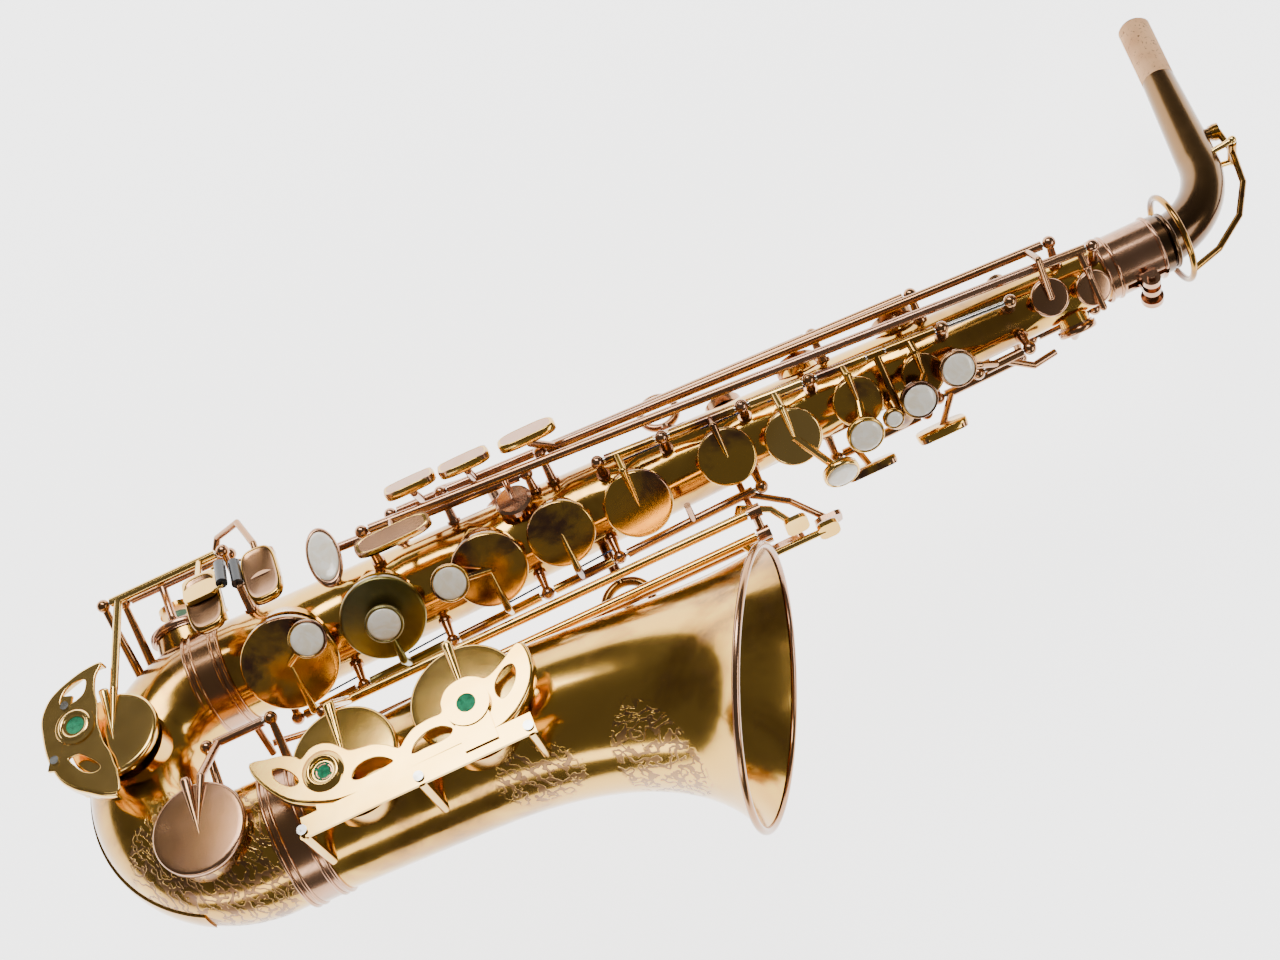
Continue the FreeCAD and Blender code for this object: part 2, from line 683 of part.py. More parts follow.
def pearl_pieces(name, middle, normal, share=1.0):
    """A round finger button: a brass holder with a mother-of-pearl disc in it."""
    radius = "sizes.pearl_radius * %.2f" % share
    holder = disc(name + "_holder", middle, normal, radius + " + sizes.holder_wall", "sizes.holder_tall")
    recess = disc(name + "_recess", middle + normal * 1.2, normal, radius, "sizes.holder_tall")
    pearl = disc(name + "_disc", middle + normal * 1.2, normal, radius, "sizes.pearl_tall")
    dome = primitive("Cone", name + "_dome", {
        "Radius1": radius, "Radius2": radius + " * 0.8", "Height": "0.5"},
        facing(middle + normal * (1.2 + size("pearl_tall")), normal))
    return cut(name + "_cup", holder, recess), fuse(name, [pearl, dome])


def finger_pearl(hole_name, height, azimuth, rise, share=1.0):
    """A finger button on a post that grows from a key's cup."""
    hole = HOLES[hole_name]
    name = hole_name + "_pearl"
    normal = outward(azimuth)
    middle = on_body(height, azimuth, rise)
    holder, pearl = pearl_pieces(name, middle, normal, share)
    stem = strut(name + "_stem", hole.point(CUP_TOP - 0.6), middle + normal * 0.5, "sizes.arm_root")
    return [stem, holder], [pearl]


def opened(rod, spot, normal, angle):
    """The turn about a rod that moves spot along normal, and its sign about the rod's axis."""
    axis = rod_axis(rod)
    low = RODS[rod][0]
    sign = 1.0 if axis.cross(spot - low).dot(normal) > 0 else -1.0
    turn = FreeCAD.Rotation(axis, sign * angle)
    return FreeCAD.Placement(low - turn.multVec(low), turn)


def finish_key(name, metal, bore, soft, motion=None):
    """Joins a key's metal, bores its tube and adds the pads and pearls that ride on it."""
    body = cut(name + "_metal", fuse(name + "_joined", metal), bore)
    node(name, group(name, [body] + soft), motion)


def stack_key(name, hole_name, rod, low, high, pearl=None, angle=None):
    """A finger key of a stack, standing open."""
    hole = HOLES[hole_name]
    tube, bore = hinge(name, rod, low, high)
    cup, pad = cup_pieces(hole)
    metal = [tube, cup] + cup_arm(hole, rod)
    soft = [pad]
    if pearl:
        more, pearls = finger_pearl(hole_name, *pearl)
        metal += more
        soft += pearls
    turn = size("open_angle") if angle is None else angle
    motion = opened(rod, hole.point(0), hole.normal, turn) if turn else None
    finish_key(name, metal, bore, soft, motion)


stack_key("d_key", "d", "lower", 30.7, 57.2, (52.0, 63.0, 17.0))
stack_key("e_key", "e", "lower", 64.4, 102.4, (85.0, 51.0, 16.0))
stack_key("f_key", "f", "lower", 109.6, 150.8, (119.0, 57.0, 17.0))
stack_key("f_sharp_key", "f_sharp", "lower", 158.0, 187.4)
stack_key("g_sharp_key", "g_sharp", "upper", 203.7, 227.3, None, 0)
stack_key("g_key", "g", "upper", 234.7, 265.8)
stack_key("a_key", "a", "upper", 273.2, 298.3, (298.0, -8.0, 17.0))
stack_key("c_key", "c", "upper", 305.7, 329.0, (314.0, 16.0, 17.0))
stack_key("bis_key", "bis", "upper", 330.0, 338.0)
stack_key("b_key", "b", "upper", 339.0, 362.3, (342.0, 23.0, 17.0))


def plate(name, corner_place, length, width, thick):
    """A flat touch plate, its middle on the placement."""
    shift = FreeCAD.Placement(VECTOR(-length / 2, -width / 2, 0), FreeCAD.Rotation())
    return primitive("Box", name, {"Length": "%.3f" % length, "Width": "%.3f" % width,
                                   "Height": thick}, corner_place.multiply(shift))


def rounded_plate(name, middle, normal, length, width, thick="sizes.touch_thick"):
    """A touch plate with rounded corners, its length along the body."""
    place = facing(middle, normal)
    along = place.Rotation.multVec(VECTOR(1, 0, 0))
    aside = place.Rotation.multVec(VECTOR(0, 1, 0))
    corner = min(size("touch_corner"), width / 2 - 0.1)
    pieces = [plate(name + "_long", place, length, width - 2 * corner, thick),
              plate(name + "_wide", place, length - 2 * corner, width, thick)]
    for index, (one, two) in enumerate(((-1, -1), (-1, 1), (1, -1), (1, 1))):
        spot = middle + along * one * (length / 2 - corner) + aside * two * (width / 2 - corner)
        pieces.append(disc("%s_corner%d" % (name, index), spot, normal, "%.3f" % corner, thick))
    return pieces


def side_key(name, hole_name, rod, low, high, touch_height, touch_azimuth, bridge=None):
    """A key closed at rest, with a long tube from its touch to its cup."""
    hole = HOLES[hole_name]
    tube, bore = hinge(name, rod, low, high)
    cup, pad = cup_pieces(hole)
    metal = [tube, cup]
    if bridge:
        points = [rod_at(rod, hole.centre.z), on_body(hole.centre.z, bridge, 21.0),
                  hole.point(CUP_TOP + 1.0, 0, 0), hole.point(CUP_TOP - 0.3)]
        metal += bar_path(name + "_bridge", points, "sizes.post_radius")
    else:
        metal += cup_arm(hole, rod)
    touch = on_body(touch_height, touch_azimuth, 27.0)
    metal += rounded_plate(name + "_touch", touch, outward(touch_azimuth), 24.0, 10.0)
    elbow = on_body(touch_height, touch_azimuth, 23.0)
    start = rod_at(rod, max(touch_height, low + 4.0))
    metal += bar_path(name + "_lever", [start, elbow, touch], "sizes.arm_root")
    finish_key(name, metal, bore, [pad])


side_key("side_bb_key", "side_bb", "side_bb", 105.7, 310.3, 118.5, 121.0)
side_key("side_c_key", "side_c", "side_c", 131.7, 358.3, 145.0, 119.0)
side_key("high_e_key", "high_e", "side_e", 181.2, 424.3, 176.0, 119.0, 84.0)


def lever_key(name, rod, low, high, hole_name=None, paths=(), touches=(), pearls=(), arm=None,
              motion=None, fork=None):
    """A key from its tube, an optional cup, bars, touch plates and finger pearls."""
    tube, bore = hinge(name, rod, low, high)
    metal = [tube]
    soft = []
    if hole_name:
        cup, pad = cup_pieces(HOLES[hole_name])
        metal.append(cup)
        metal += cup_arm(HOLES[hole_name], rod, arm)
        soft.append(pad)
    for index, points in enumerate(paths):
        metal += bar_path("%s_path%d" % (name, index), points, "sizes.post_radius")
    metal += bar_path(name + "_fork", fork, "sizes.roller_pin") if fork else []
    for index, (middle, normal, length, width) in enumerate(touches):
        metal += rounded_plate("%s_touch%d" % (name, index), middle, normal, length, width)
    for index, (middle, normal, share) in enumerate(pearls):
        holder, pearl = pearl_pieces("%s_pearl%d" % (name, index), middle, normal, share)
        metal.append(holder)
        soft.append(pearl)
    finish_key(name, metal, bore, soft, motion)


def build_right_side_keys():
    """The high F sharp key and the trill key, whose touches lie beside the lower stack."""
    touch = on_body(104.0, 91.0, 23.0)
    cup = HOLES["high_fs"]
    lever_key("high_f_sharp_key", "high_fs", 93.7, 439.8, None,
              paths=([rod_at("high_fs", 104.0), touch],
                     [rod_at("high_fs", 437.0), cup.point(7.5, 0, -9.0), cup.point(CUP_TOP)]),
              touches=[(touch, outward(91.0), 36.0, 8.5)])


def trill_key():
    """The trill key: an oval pearl at its foot and a small cup between the stacks."""
    spot = on_body(72.0, 98.0, 22.0)
    lever_key("trill_f_sharp_key", "trill", 71.7, 164.3, "trill_fs",
              paths=([rod_at("trill", 74.0), on_body(74.0, 112.0, 21.0), spot],),
              pearls=[(spot, outward(98.0), 0.85)])


def roller_fork(height, plate_edge):
    """The pin through a roller, bent round both its ends to the touch plate beside it."""
    across = UP.cross(outward(105.0))
    points = []
    for side in (-1, 1):
        near = on_body(height, 105.0, 30.0) + across * side * 9.4
        far = on_body(plate_edge, 105.0, 28.5) + across * side * 7.6
        points += [near, far] if side > 0 else [far, near]
    return points


def low_motion(hole_name, angle="bell_open_angle"):
    """The turn that stands a bow or bell key open."""
    hole = HOLES[hole_name]
    return opened(hole_name, hole.point(0), hole.normal, size(angle))


def build_foot_keys():
    """The little-finger keys of the bow, with the two rollers between their touches."""
    c_touch = on_body(16.0, 104.0, 27.0)
    eb_touch = on_body(44.0, 106.0, 27.0)
    lever_key("low_c_key", "low_c", -30.7, 22.3, "low_c", arm=-27.0,
              paths=([rod_at("low_c", 14.0), on_body(14.0, 116.0, 26.0), c_touch],),
              fork=roller_fork(27.0, 21.5),
              touches=[(c_touch, outward(104.0), 15.8, 17.0)],
              motion=low_motion("low_c", "low_c_open_angle"))
    lever_key("low_eb_key", "low_eb", -24.7, 22.3, "low_eb", arm=-9.0,
              paths=([rod_at("low_eb", 18.0), VECTOR(-31, 52, 24), VECTOR(-43, 46, 38),
                      on_body(44.0, 118.0, 33.0), eb_touch],),
              fork=roller_fork(33.0, 38.5),
              touches=[(eb_touch, outward(106.0), 15.8, 17.0)])


def build_bell_keys():
    """The low B, B flat and C sharp keys, with their tubes up to the left little-finger table."""
    lever_key("low_b_key", "low_b", 46.0, 250.7, "low_b", arm=55.0,
              paths=([rod_at("low_b", 246.0), VECTOR(-6, -37.5, 249), VECTOR(1, -40, 262),
                      VECTOR(10, -46.5, 269)],),
              touches=[(VECTOR(10, -46, 270), VECTOR(0, -1, 0), 11.0, 10.9)],
              motion=low_motion("low_b"))
    lever_key("low_b_flat_key", "low_bb", 102.0, 250.7, "low_bb", arm=110.0,
              paths=([rod_at("low_bb", 243.0), VECTOR(6, -60, 250), VECTOR(10, -57, 280)],),
              touches=[(VECTOR(10, -56, 282), VECTOR(0, -1, 0), 10.0, 9.9)],
              motion=low_motion("low_bb"))
    lever_key("low_c_sharp_lever", "low_cs_long", 38.0, 250.7, None,
              paths=([rod_at("low_cs_long", 244.0), VECTOR(16, -50, 248), VECTOR(25, -47, 262)],
                     [rod_at("low_cs_long", 46.0), VECTOR(-1, -48, 38), VECTOR(-8, -48.5, 16)]),
              touches=[(VECTOR(25, -46, 264), VECTOR(0.25, -0.97, 0).normalize(), 16.0, 10.0)])
    lever_key("low_c_sharp_key", "low_cs", -4.7, 18.7, "low_cs", arm=-3.0,
              paths=([rod_at("low_cs", 15.0), VECTOR(-8, -53.5, 15)],))


def build_g_sharp_lever():
    """The lever that lifts the G sharp cup, its touch at the top of the table."""
    lever_key("g_sharp_lever", "lower", 195.0, 258.7, None,
              paths=([rod_at("lower", 255.0), VECTOR(10, -36, 272), VECTOR(24, -44.6, 285)],
                     [rod_at("lower", 228.5), on_body(228.5, 24.0, 14.0)]),
              touches=[(VECTOR(24, -44, 285), VECTOR(0.25, -0.97, 0).normalize(), 13.0, 12.9)])


def build_palm_keys():
    """The three left palm keys and the front F lever."""
    for name, hole, low, high, bar, height, azimuth in (
            ("palm_d_key", "palm_d", 305.7, 345.3, 312.0, 314.0, -40.0),
            ("palm_e_flat_key", "palm_eb", 361.7, 397.3, 365.0, 352.0, -50.0),
            ("palm_f_key", "palm_f", 412.7, 438.3, 416.0, 410.0, -118.0)):
        touch = on_body(height, azimuth, 21.0)
        lever_key(name, hole, low, high, hole,
                  paths=([rod_at(hole, bar), touch],),
                  touches=[(touch, outward(azimuth), 24.0, 11.0)])
    pearl = on_body(364.0, 34.0, 16.0)
    lever_key("front_f_key", "front_f", 377.7, 396.3, None,
              paths=([rod_at("front_f", 384.0), on_body(375.0, 24.0, 14.0), pearl],
                     [rod_at("front_f", 387.0), on_body(400.0, -16.0, 13.0), on_body(412.0, -22.0, 11.0)]),
              pearls=[(pearl, outward(34.0), 1.0)])


def build_octave_keys():
    """The thumb lever, the body's octave vent key and the neck's octave key with its ring."""
    touch = on_body(284.0, 180.0, 12.0)
    lever_key("octave_thumb_lever", "octave", 301.7, 366.0, None,
              paths=([rod_at("octave", 306.0), on_body(300.0, -166.0, 16.5), touch],
                     [rod_at("octave", 362.0), on_body(368.0, -138.0, 17.0),
                      on_body(440.0, -138.0, 14.0), outward(-138.0) * 17.7 + UP * 468.0,
                      outward(-138.0) * 17.7 + UP * (RECEIVER_TOP + 3.5)]),
              touches=[(touch, outward(180.0), 9.0, 8.9)])
    lever_key("body_octave_key", "octave", 370.0, 410.3, "octave")


build_right_side_keys()
trill_key()
build_foot_keys()
build_bell_keys()
build_g_sharp_lever()
build_palm_keys()
build_octave_keys()


def build_neck_octave_key():
    """The octave key over the neck: pad, saddle, and the ring round the socket."""
    hinge_point = VECTOR(0, 31.0, 532.0)
    cross = VECTOR(1, 0, 0)
    ring = primitive("Torus", "octave_ring", {"Radius1": "20.5", "Radius2": "1.5"},
                     FreeCAD.Placement(UP * (RECEIVER_TOP + 9.0), FreeCAD.Rotation()))
    spine = [VECTOR(0, -20.5, RECEIVER_TOP + 9.0), VECTOR(0, -16, 499), VECTOR(0, -4, 516),
             VECTOR(0, 12, 527), hinge_point, VENT_TOP + VENT_RISE * 4.0]
    tube = strut("neck_octave_tube", hinge_point - cross * 5.5, hinge_point + cross * 5.5,
                 "sizes.hinge_radius")
    bore = strut("neck_octave_bore", hinge_point - cross * 9, hinge_point + cross * 9,
                 "sizes.rod_radius + sizes.fit_gap")
    cup = disc("neck_octave_cup", VENT_TOP + VENT_RISE * (size("pad_gap") + 1.5), VENT_RISE,
               "4.2", "2.6", cross)
    pad = disc("neck_octave_pad", VENT_TOP + VENT_RISE * size("pad_gap"), VENT_RISE, "3.8", "1.5",
               cross)
    metal = [ring, tube, cup] + bar_path("octave_spine", spine, "sizes.post_radius")
    finish_key("neck_octave_key", metal, bore, [pad])
    posts = []
    for side in (-1, 1):
        top = hinge_point + cross * side * 7.8
        foot = VECTOR(side * 5.5, 31.0, 519.5)
        posts.append(fuse("saddle%d" % side, [
            strut("saddle_stem%d" % side, foot, top, "1.5"), ball("saddle_ball%d" % side, top, "2.1")]))
    node("neck_octave_saddle", group("neck_octave_saddle", posts))
    node("neck_octave_rod", strut("neck_octave_rod", hinge_point - cross * 9.0,
                                  hinge_point + cross * 9.0, "sizes.rod_radius"))


build_neck_octave_key()


# ---------------------------------------------------------------------------- guards and fittings

FELTS = []


def guard_plate(name, hole, along, aside, length, width):
    """A flat piece of a guard, parallel to the pad under it."""
    place = facing(hole.point(size("guard_rise"), along, aside), hole.normal, hole.upward)
    return plate(name, place, length, width, "sizes.guard_thick")


def guard_ring(name, hole, radius, along=0.0, aside=0.0):
    """The round seat for a felt bumper over the cup, and the felt in it."""
    low = hole.point(size("guard_rise") - 0.6, along, aside)
    seat = disc(name + "_seat", low, hole.normal, radius, "sizes.guard_thick + 1.4", hole.upward)
    opening = disc(name + "_opening", low - hole.normal, hole.normal, "sizes.felt_radius", "6",
                   hole.upward)
    FELTS.append(disc(name + "_felt", low, hole.normal, "sizes.felt_radius", "sizes.felt_tall",
                      hole.upward))
    return seat, opening


def guard_foot(name, hole, along, aside, radius="2.2"):
    """A leg from the guard down to the tube."""
    top = hole.point(size("guard_rise") + 1.5, along, aside)
    depth = math.sqrt(hole.tube ** 2 - aside ** 2) - 0.8 - hole.rim
    return strut(name, hole.point(depth, along, aside), top, radius)


def build_guards():
    """The guards over the bell keys, the low C key and the low E flat key."""
    low = HOLES["low_b"]
    high = HOLES["low_bb"]
    middle = (high.centre.z - low.centre.z) / 2
    level = size("guard_rise") + (high.tube - low.tube) / 2
    spine = plate("bell_guard_spine", facing(low.point(level, middle, -23.0), low.normal, low.upward),
                  104.0, 9.0, "sizes.guard_thick")
    pieces = [spine]
    openings = []
    for name, hole, along in (("guard_b", low, -8.5), ("guard_bb", high, 0.5)):
        seat, opening = guard_ring(name, hole, "10", along, -3.0)
        pieces += [seat, guard_plate(name + "_web", hole, along, -14.0, 15.0, 18.0)]
        openings.append(opening)
    for index, along in enumerate((-24.0, middle, 78.0)):
        pieces.append(guard_foot("bell_guard_foot%d" % index, low, along, -26.0))
    node("bell_key_guard", cut("bell_key_guard", fuse("bell_guard_solid", pieces),
                               fuse("bell_guard_openings", openings)))
    for name, hole_name, along, ring_aside, aside in (
            ("low_c_guard", "low_c", 3.0, 16.0, 23.0), ("low_e_flat_guard", "low_eb", 0.0, 0.0, 19.5)):
        hole = HOLES[hole_name]
        seat, opening = guard_ring(name, hole, "9", along, ring_aside)
        pieces = [seat, guard_plate(name + "_web", hole, along, (ring_aside + aside) / 2, 14.0,
                                    aside - ring_aside),
                  guard_plate(name + "_edge", hole, 0.0, aside, 36.0, 5.0)]
        for index, along in enumerate((-15.0, 15.0)):
            pieces.append(guard_foot("%s_foot%d" % (name, index), hole, along, aside))
        node(name, cut(name, fuse(name + "_solid", pieces), opening))
    node("guard_felts", group("guard_felts", FELTS))


def build_fittings():
    """Thumb hook, thumb rest, strap ring and the brace between body and bell."""
    back = VECTOR(0, 1, 0)
    ring_at = VECTOR(0, size("ring_out"), size("ring_height"))
    ring = primitive("Torus", "strap_loop", {"Radius1": "sizes.ring_hole + 0.8 * sizes.ring_wire",
                                             "Radius2": "sizes.ring_wire"},
                     facing(ring_at, VECTOR(1, 0, 0)))
    hole = disc("strap_hole", ring_at - VECTOR(5, 0, 0), VECTOR(1, 0, 0), "sizes.ring_hole", "10")
    shank = strut("strap_shank", VECTOR(0, body_radius(235.0) - 0.6, size("ring_height")),
                  ring_at - back * (size("ring_hole") + 1.2), "3", "2.2")
    pad_plate = disc("strap_plate", VECTOR(0, body_radius(235.0) - 0.6, size("ring_height")), back,
                     "6", "2.2")
    node("strap_ring", cut("strap_ring", fuse("strap_solid", [ring, shank, pad_plate]), hole))

    hook_height = 150.0
    skin = body_radius(hook_height)
    hook = bar_path("hook_bar", [VECTOR(0, skin - 0.5, hook_height), VECTOR(0, skin + 21, hook_height - 2),
                                 VECTOR(0, skin + size("hook_gap"), hook_height - 24)], "3.2")
    hook.append(disc("hook_plate", VECTOR(0, skin - 0.8, hook_height), back, "8", "2.4"))
    hook.append(ball("hook_tip", VECTOR(0, skin + size("hook_gap"), hook_height - 24), "3.2"))
    node("thumb_hook", fuse("thumb_hook", hook))

    rest = VECTOR(0, body_radius(264.0) - 1.0, 264.0)
    node("thumb_rest", fuse("thumb_rest", [
        disc("rest_block", rest, back, "sizes.rest_radius", "4.5"),
        primitive("Cone", "rest_top", {"Radius1": "sizes.rest_radius", "Radius2": "sizes.rest_radius - 2",
                                       "Height": "1.4"}, facing(rest + back * 4.5, back))]))

    centre = VECTOR(15, -46, 186)
    loop = primitive("Torus", "brace_loop", {"Radius1": "11", "Radius2": "2.2"},
                     facing(centre, VECTOR(1, 0, 0)))
    to_body = strut("brace_to_body", VECTOR(15, -35.5, 186), VECTOR(10, -16.8, 186), "2.6")
    to_bell = strut("brace_to_bell", VECTOR(15, -56, 186), VECTOR(13, -66.5, 190), "2.6")
    node("bell_brace", fuse("bell_brace", [loop, to_body, to_bell]))


build_guards()
build_fittings()


def build_bow_strip():
    """The crescent of sheet that protects the bow's underside."""
    band = cut("bow_strip_band", bow_solid("bow_strip_outer", "(-0.9)"),
               bow_solid("bow_strip_inner", "0"))
    low = -size("bow_bell_radius") - BOW_RADIUS - 10
    window = primitive("Box", "bow_strip_window",
                       {"Length": "13", "Width": "sizes.bow_spread * 2", "Height": "%.3f" % (-34 - low)},
                       FreeCAD.Placement(VECTOR(-6.5, -size("bow_spread") * 1.5, low),
                                         FreeCAD.Rotation()))
    ring = primitive("Cylinder", "bow_strip_ring", {"Radius": "%.3f" % (BOW_RADIUS + 8), "Height": "60"},
                     facing(VECTOR(-30, -BOW_RADIUS, 0), VECTOR(1, 0, 0)))
    strip = doc.addObject("Part::Common", "bow_strip_cut")
    strip.Base = band
    strip.Tool = window
    node("bow_guard_strip", cut("bow_guard_strip", strip, ring))


def build_springs_and_screws():
    """The needle springs under the stacks and the screws in the guards."""
    needles = []
    for rod, heights in (("lower", (60.8, 106.0, 154.4, 191.0)), ("upper", (231.0, 269.5, 302.0, 366.0))):
        for height in heights:
            top = rod_at(rod, height)
            azimuth = math.degrees(math.atan2(-top.x, -top.y))
            needles.append(strut("needle_%s_%d" % (rod, height), on_body(height, azimuth, 5.5),
                                 on_body(height - 21.0, azimuth, 6.5), "0.45"))
    node("needle_springs", group("needle_springs", needles))
    heads = []
    low = HOLES["low_b"]
    high = HOLES["low_bb"]
    middle = (high.centre.z - low.centre.z) / 2
    level = size("guard_rise") + (high.tube - low.tube) / 2 + size("guard_thick")
    for index, along in enumerate((-24.0, middle, 78.0)):
        spot = low.point(level, along, -24.0)
        heads.append(disc("guard_screw%d" % index, spot, low.normal, "2.2", "1.1"))
    for name, aside in (("low_c", 23.0), ("low_eb", 19.5)):
        hole = HOLES[name]
        for index, along in enumerate((-13.0, 13.0)):
            spot = hole.point(size("guard_rise") + size("guard_thick"), along, aside)
            heads.append(disc("%s_screw%d" % (name, index), spot, hole.normal, "2", "1", hole.upward))
    node("guard_screws", group("guard_screws", heads))


def build_rollers():
    """The two rollers between the little-finger touches of the bow keys."""
    for name, height in (("low_c_roller", 27.0), ("low_e_flat_roller", 33.0)):
        middle = on_body(height, 105.0, 30.0)
        across = UP.cross(outward(105.0))
        start = middle - across * 7.5
        solid = strut(name + "_drum", start, middle + across * 7.5, "sizes.roller_radius")
        bore = strut(name + "_bore", start - across, middle + across * 8.5,
                     "sizes.roller_pin + sizes.fit_gap * 2")
        motion = low_motion("low_c", "low_c_open_angle") if name == "low_c_roller" else None
        node(name, cut(name, solid, bore), motion)


build_bow_strip()
build_springs_and_screws()
build_rollers()


def check_and_write():
    """Refuses a failed object or shape, then writes one file for each node."""
    doc.recompute()
    for item in doc.Objects:
        if "Invalid" in item.State or "Error" in item.State:
            raise SystemExit("failed object: %s %s" % (item.Name, item.State))
    os.makedirs("parts", exist_ok=True)
    for item in NODES:
        shape = item.Shape
        if shape.isNull() or not shape.isValid() or not shape.Solids:
            raise SystemExit("bad shape: " + item.Label)
        shape.exportStep("parts/%s.step" % item.Label)
        print("%-20s %3d solids %10.1f mm3" % (item.Label, len(shape.Solids), shape.Volume))


check_and_write()
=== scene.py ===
import bmesh
import bpy
import math
import numpy as np
from mathutils import Matrix, Vector


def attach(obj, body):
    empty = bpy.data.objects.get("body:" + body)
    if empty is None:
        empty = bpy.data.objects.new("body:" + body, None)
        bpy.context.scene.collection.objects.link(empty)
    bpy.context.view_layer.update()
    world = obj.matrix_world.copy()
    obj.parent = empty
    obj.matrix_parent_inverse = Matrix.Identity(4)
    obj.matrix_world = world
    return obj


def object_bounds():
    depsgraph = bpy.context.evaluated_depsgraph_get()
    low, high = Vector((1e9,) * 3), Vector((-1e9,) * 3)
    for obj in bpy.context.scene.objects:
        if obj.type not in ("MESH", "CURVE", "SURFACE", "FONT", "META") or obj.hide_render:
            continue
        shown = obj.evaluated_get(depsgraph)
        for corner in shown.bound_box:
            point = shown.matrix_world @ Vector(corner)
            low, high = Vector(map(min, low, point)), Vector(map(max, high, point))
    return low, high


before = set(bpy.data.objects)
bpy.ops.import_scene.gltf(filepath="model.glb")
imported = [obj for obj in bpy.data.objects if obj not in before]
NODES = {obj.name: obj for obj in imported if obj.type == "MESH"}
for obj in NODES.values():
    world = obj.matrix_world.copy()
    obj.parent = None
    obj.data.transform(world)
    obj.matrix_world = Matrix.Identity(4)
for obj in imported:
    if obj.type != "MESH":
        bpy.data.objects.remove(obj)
cad_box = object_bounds()

# ---------------------------------------------------------------- camera and finishes

VIEW_RIGHT = Vector((0.2417, -0.3444, 0.9072))
VIEW_UP = Vector((-0.5097, 0.7505, 0.4207))
VIEW_AHEAD = Vector((0.8257, 0.5640, -0.0058))
EYE = Vector((-0.75931, -0.54904, -0.01574))
SENSOR = 36.0
LENS = 55.76


def aim(thing, right, up, ahead, place):
    """Puts thing at place, its -Z along ahead and its Y along up."""
    turn = Matrix((right, up, -ahead)).transposed().to_4x4()
    thing.matrix_world = Matrix.Translation(place) @ turn


def make_camera():
    """The camera looks level at the player's right side, rolled so that the body runs up to the right."""
    data = bpy.data.cameras.new("view")
    data.lens = LENS
    data.sensor_width = SENSOR
    data.clip_start = 0.01
    data.clip_end = 20.0
    thing = bpy.data.objects.new("view", data)
    bpy.context.scene.collection.objects.link(thing)
    up = VIEW_RIGHT.cross(VIEW_AHEAD).normalized()
    right = VIEW_AHEAD.cross(up).normalized()
    aim(thing, right, up, VIEW_AHEAD.normalized(), EYE)
    bpy.context.scene.camera = thing


make_camera()


class Knob:
    """A socket of a shader tree that takes part in sums."""

    def __init__(self, net, socket):
        self.net = net
        self.socket = socket

    def __add__(self, other):
        return self.net.maths("ADD", self, other)

    def __radd__(self, other):
        return self.net.maths("ADD", other, self)

    def __sub__(self, other):
        return self.net.maths("SUBTRACT", self, other)

    def __rsub__(self, other):
        return self.net.maths("SUBTRACT", other, self)

    def __mul__(self, other):
        return self.net.maths("MULTIPLY", self, other)

    def __rmul__(self, other):
        return self.net.maths("MULTIPLY", other, self)

    def __truediv__(self, other):
        return self.net.maths("DIVIDE", self, other)

    def __pow__(self, other):
        return self.net.maths("POWER", self, other)


class Net:
    """A material's tree, with one method for every kind of node."""

    def __init__(self, name):
        self.material = bpy.data.materials.new(name)
        self.material.use_nodes = True
        self.tree = self.material.node_tree
        self.tree.nodes.clear()
        self.end = self.tree.nodes.new("ShaderNodeOutputMaterial")
        self.shader = self.tree.nodes.new("ShaderNodeBsdfPrincipled")
        self.tree.links.new(self.shader.outputs[0], self.end.inputs[0])
        self.where = self.node("ShaderNodeTexCoord", {}, {}, "Object")

    def plug(self, value, socket):
        """Links a knob to a socket, or sets the socket's own value."""
        if isinstance(value, Knob):
            self.tree.links.new(value.socket, socket)
        else:
            socket.default_value = value

    def node(self, kind, settings, values, output=0):
        """A node of that kind: settings first, then its sockets; gives one output as a knob."""
        made = self.tree.nodes.new(kind)
        for key, value in settings.items():
            if key == "stops":
                ramp = made.color_ramp
                while len(ramp.elements) < len(value):
                    ramp.elements.new(0.5)
                for element, (spot, colour) in zip(ramp.elements, value):
                    element.position = spot
                    element.color = colour
            else:
                setattr(made, key, value)
        for key, value in values.items():
            self.plug(value, made.inputs[key])
        return Knob(self, made.outputs[output])

    def maths(self, operation, *values):
        return self.node("ShaderNodeMath", {"operation": operation}, dict(enumerate(values)))

    def clamp(self, value, low=0.0, high=1.0):
        return self.node("ShaderNodeClamp", {}, {"Value": value, "Min": low, "Max": high})

    def noise(self, scale, detail=3.0, rough=0.55, warp=0.0, where=None):
        """Cloudy noise of this many cells a metre."""
        return self.node("ShaderNodeTexNoise", {}, {
            "Vector": where or self.where, "Scale": scale, "Detail": detail, "Roughness": rough,
            "Distortion": warp}, "Fac")

    def steps(self, value, low, high):
        """Zero below low, one above high, smooth between."""
        return self.node("ShaderNodeMapRange", {"interpolation_type": "SMOOTHSTEP"}, {
            "Value": value, "From Min": low, "From Max": high})

    def mix(self, share, one, two):
        """Colour one where share is 0 and colour two where it is 1."""
        made = self.tree.nodes.new("ShaderNodeMix")
        made.data_type = "RGBA"
        self.plug(share, made.inputs["Factor"])
        sockets = [item for item in made.inputs if item.type == "RGBA"]
        self.plug(one, sockets[0])
        self.plug(two, sockets[1])
        found = [item for item in made.outputs if item.type == "RGBA"]
        return Knob(self, found[0])

    def part(self, axis, vector=None):
        """One coordinate of a vector."""
        return self.node("ShaderNodeSeparateXYZ", {}, {"Vector": vector or self.where}, axis)

    def bump(self, height, distance, strength=1.0):
        return self.node("ShaderNodeBump", {}, {"Strength": strength, "Distance": distance,
                                                "Height": height}, "Normal")

    def finish(self, values):
        """Sets or links the shader's sockets by name."""
        for key, value in values.items():
            self.plug(value, self.shader.inputs[key])
        return self.material


def rgb(red, green, blue):
    """A colour with full alpha."""
    return (red, green, blue, 1.0)


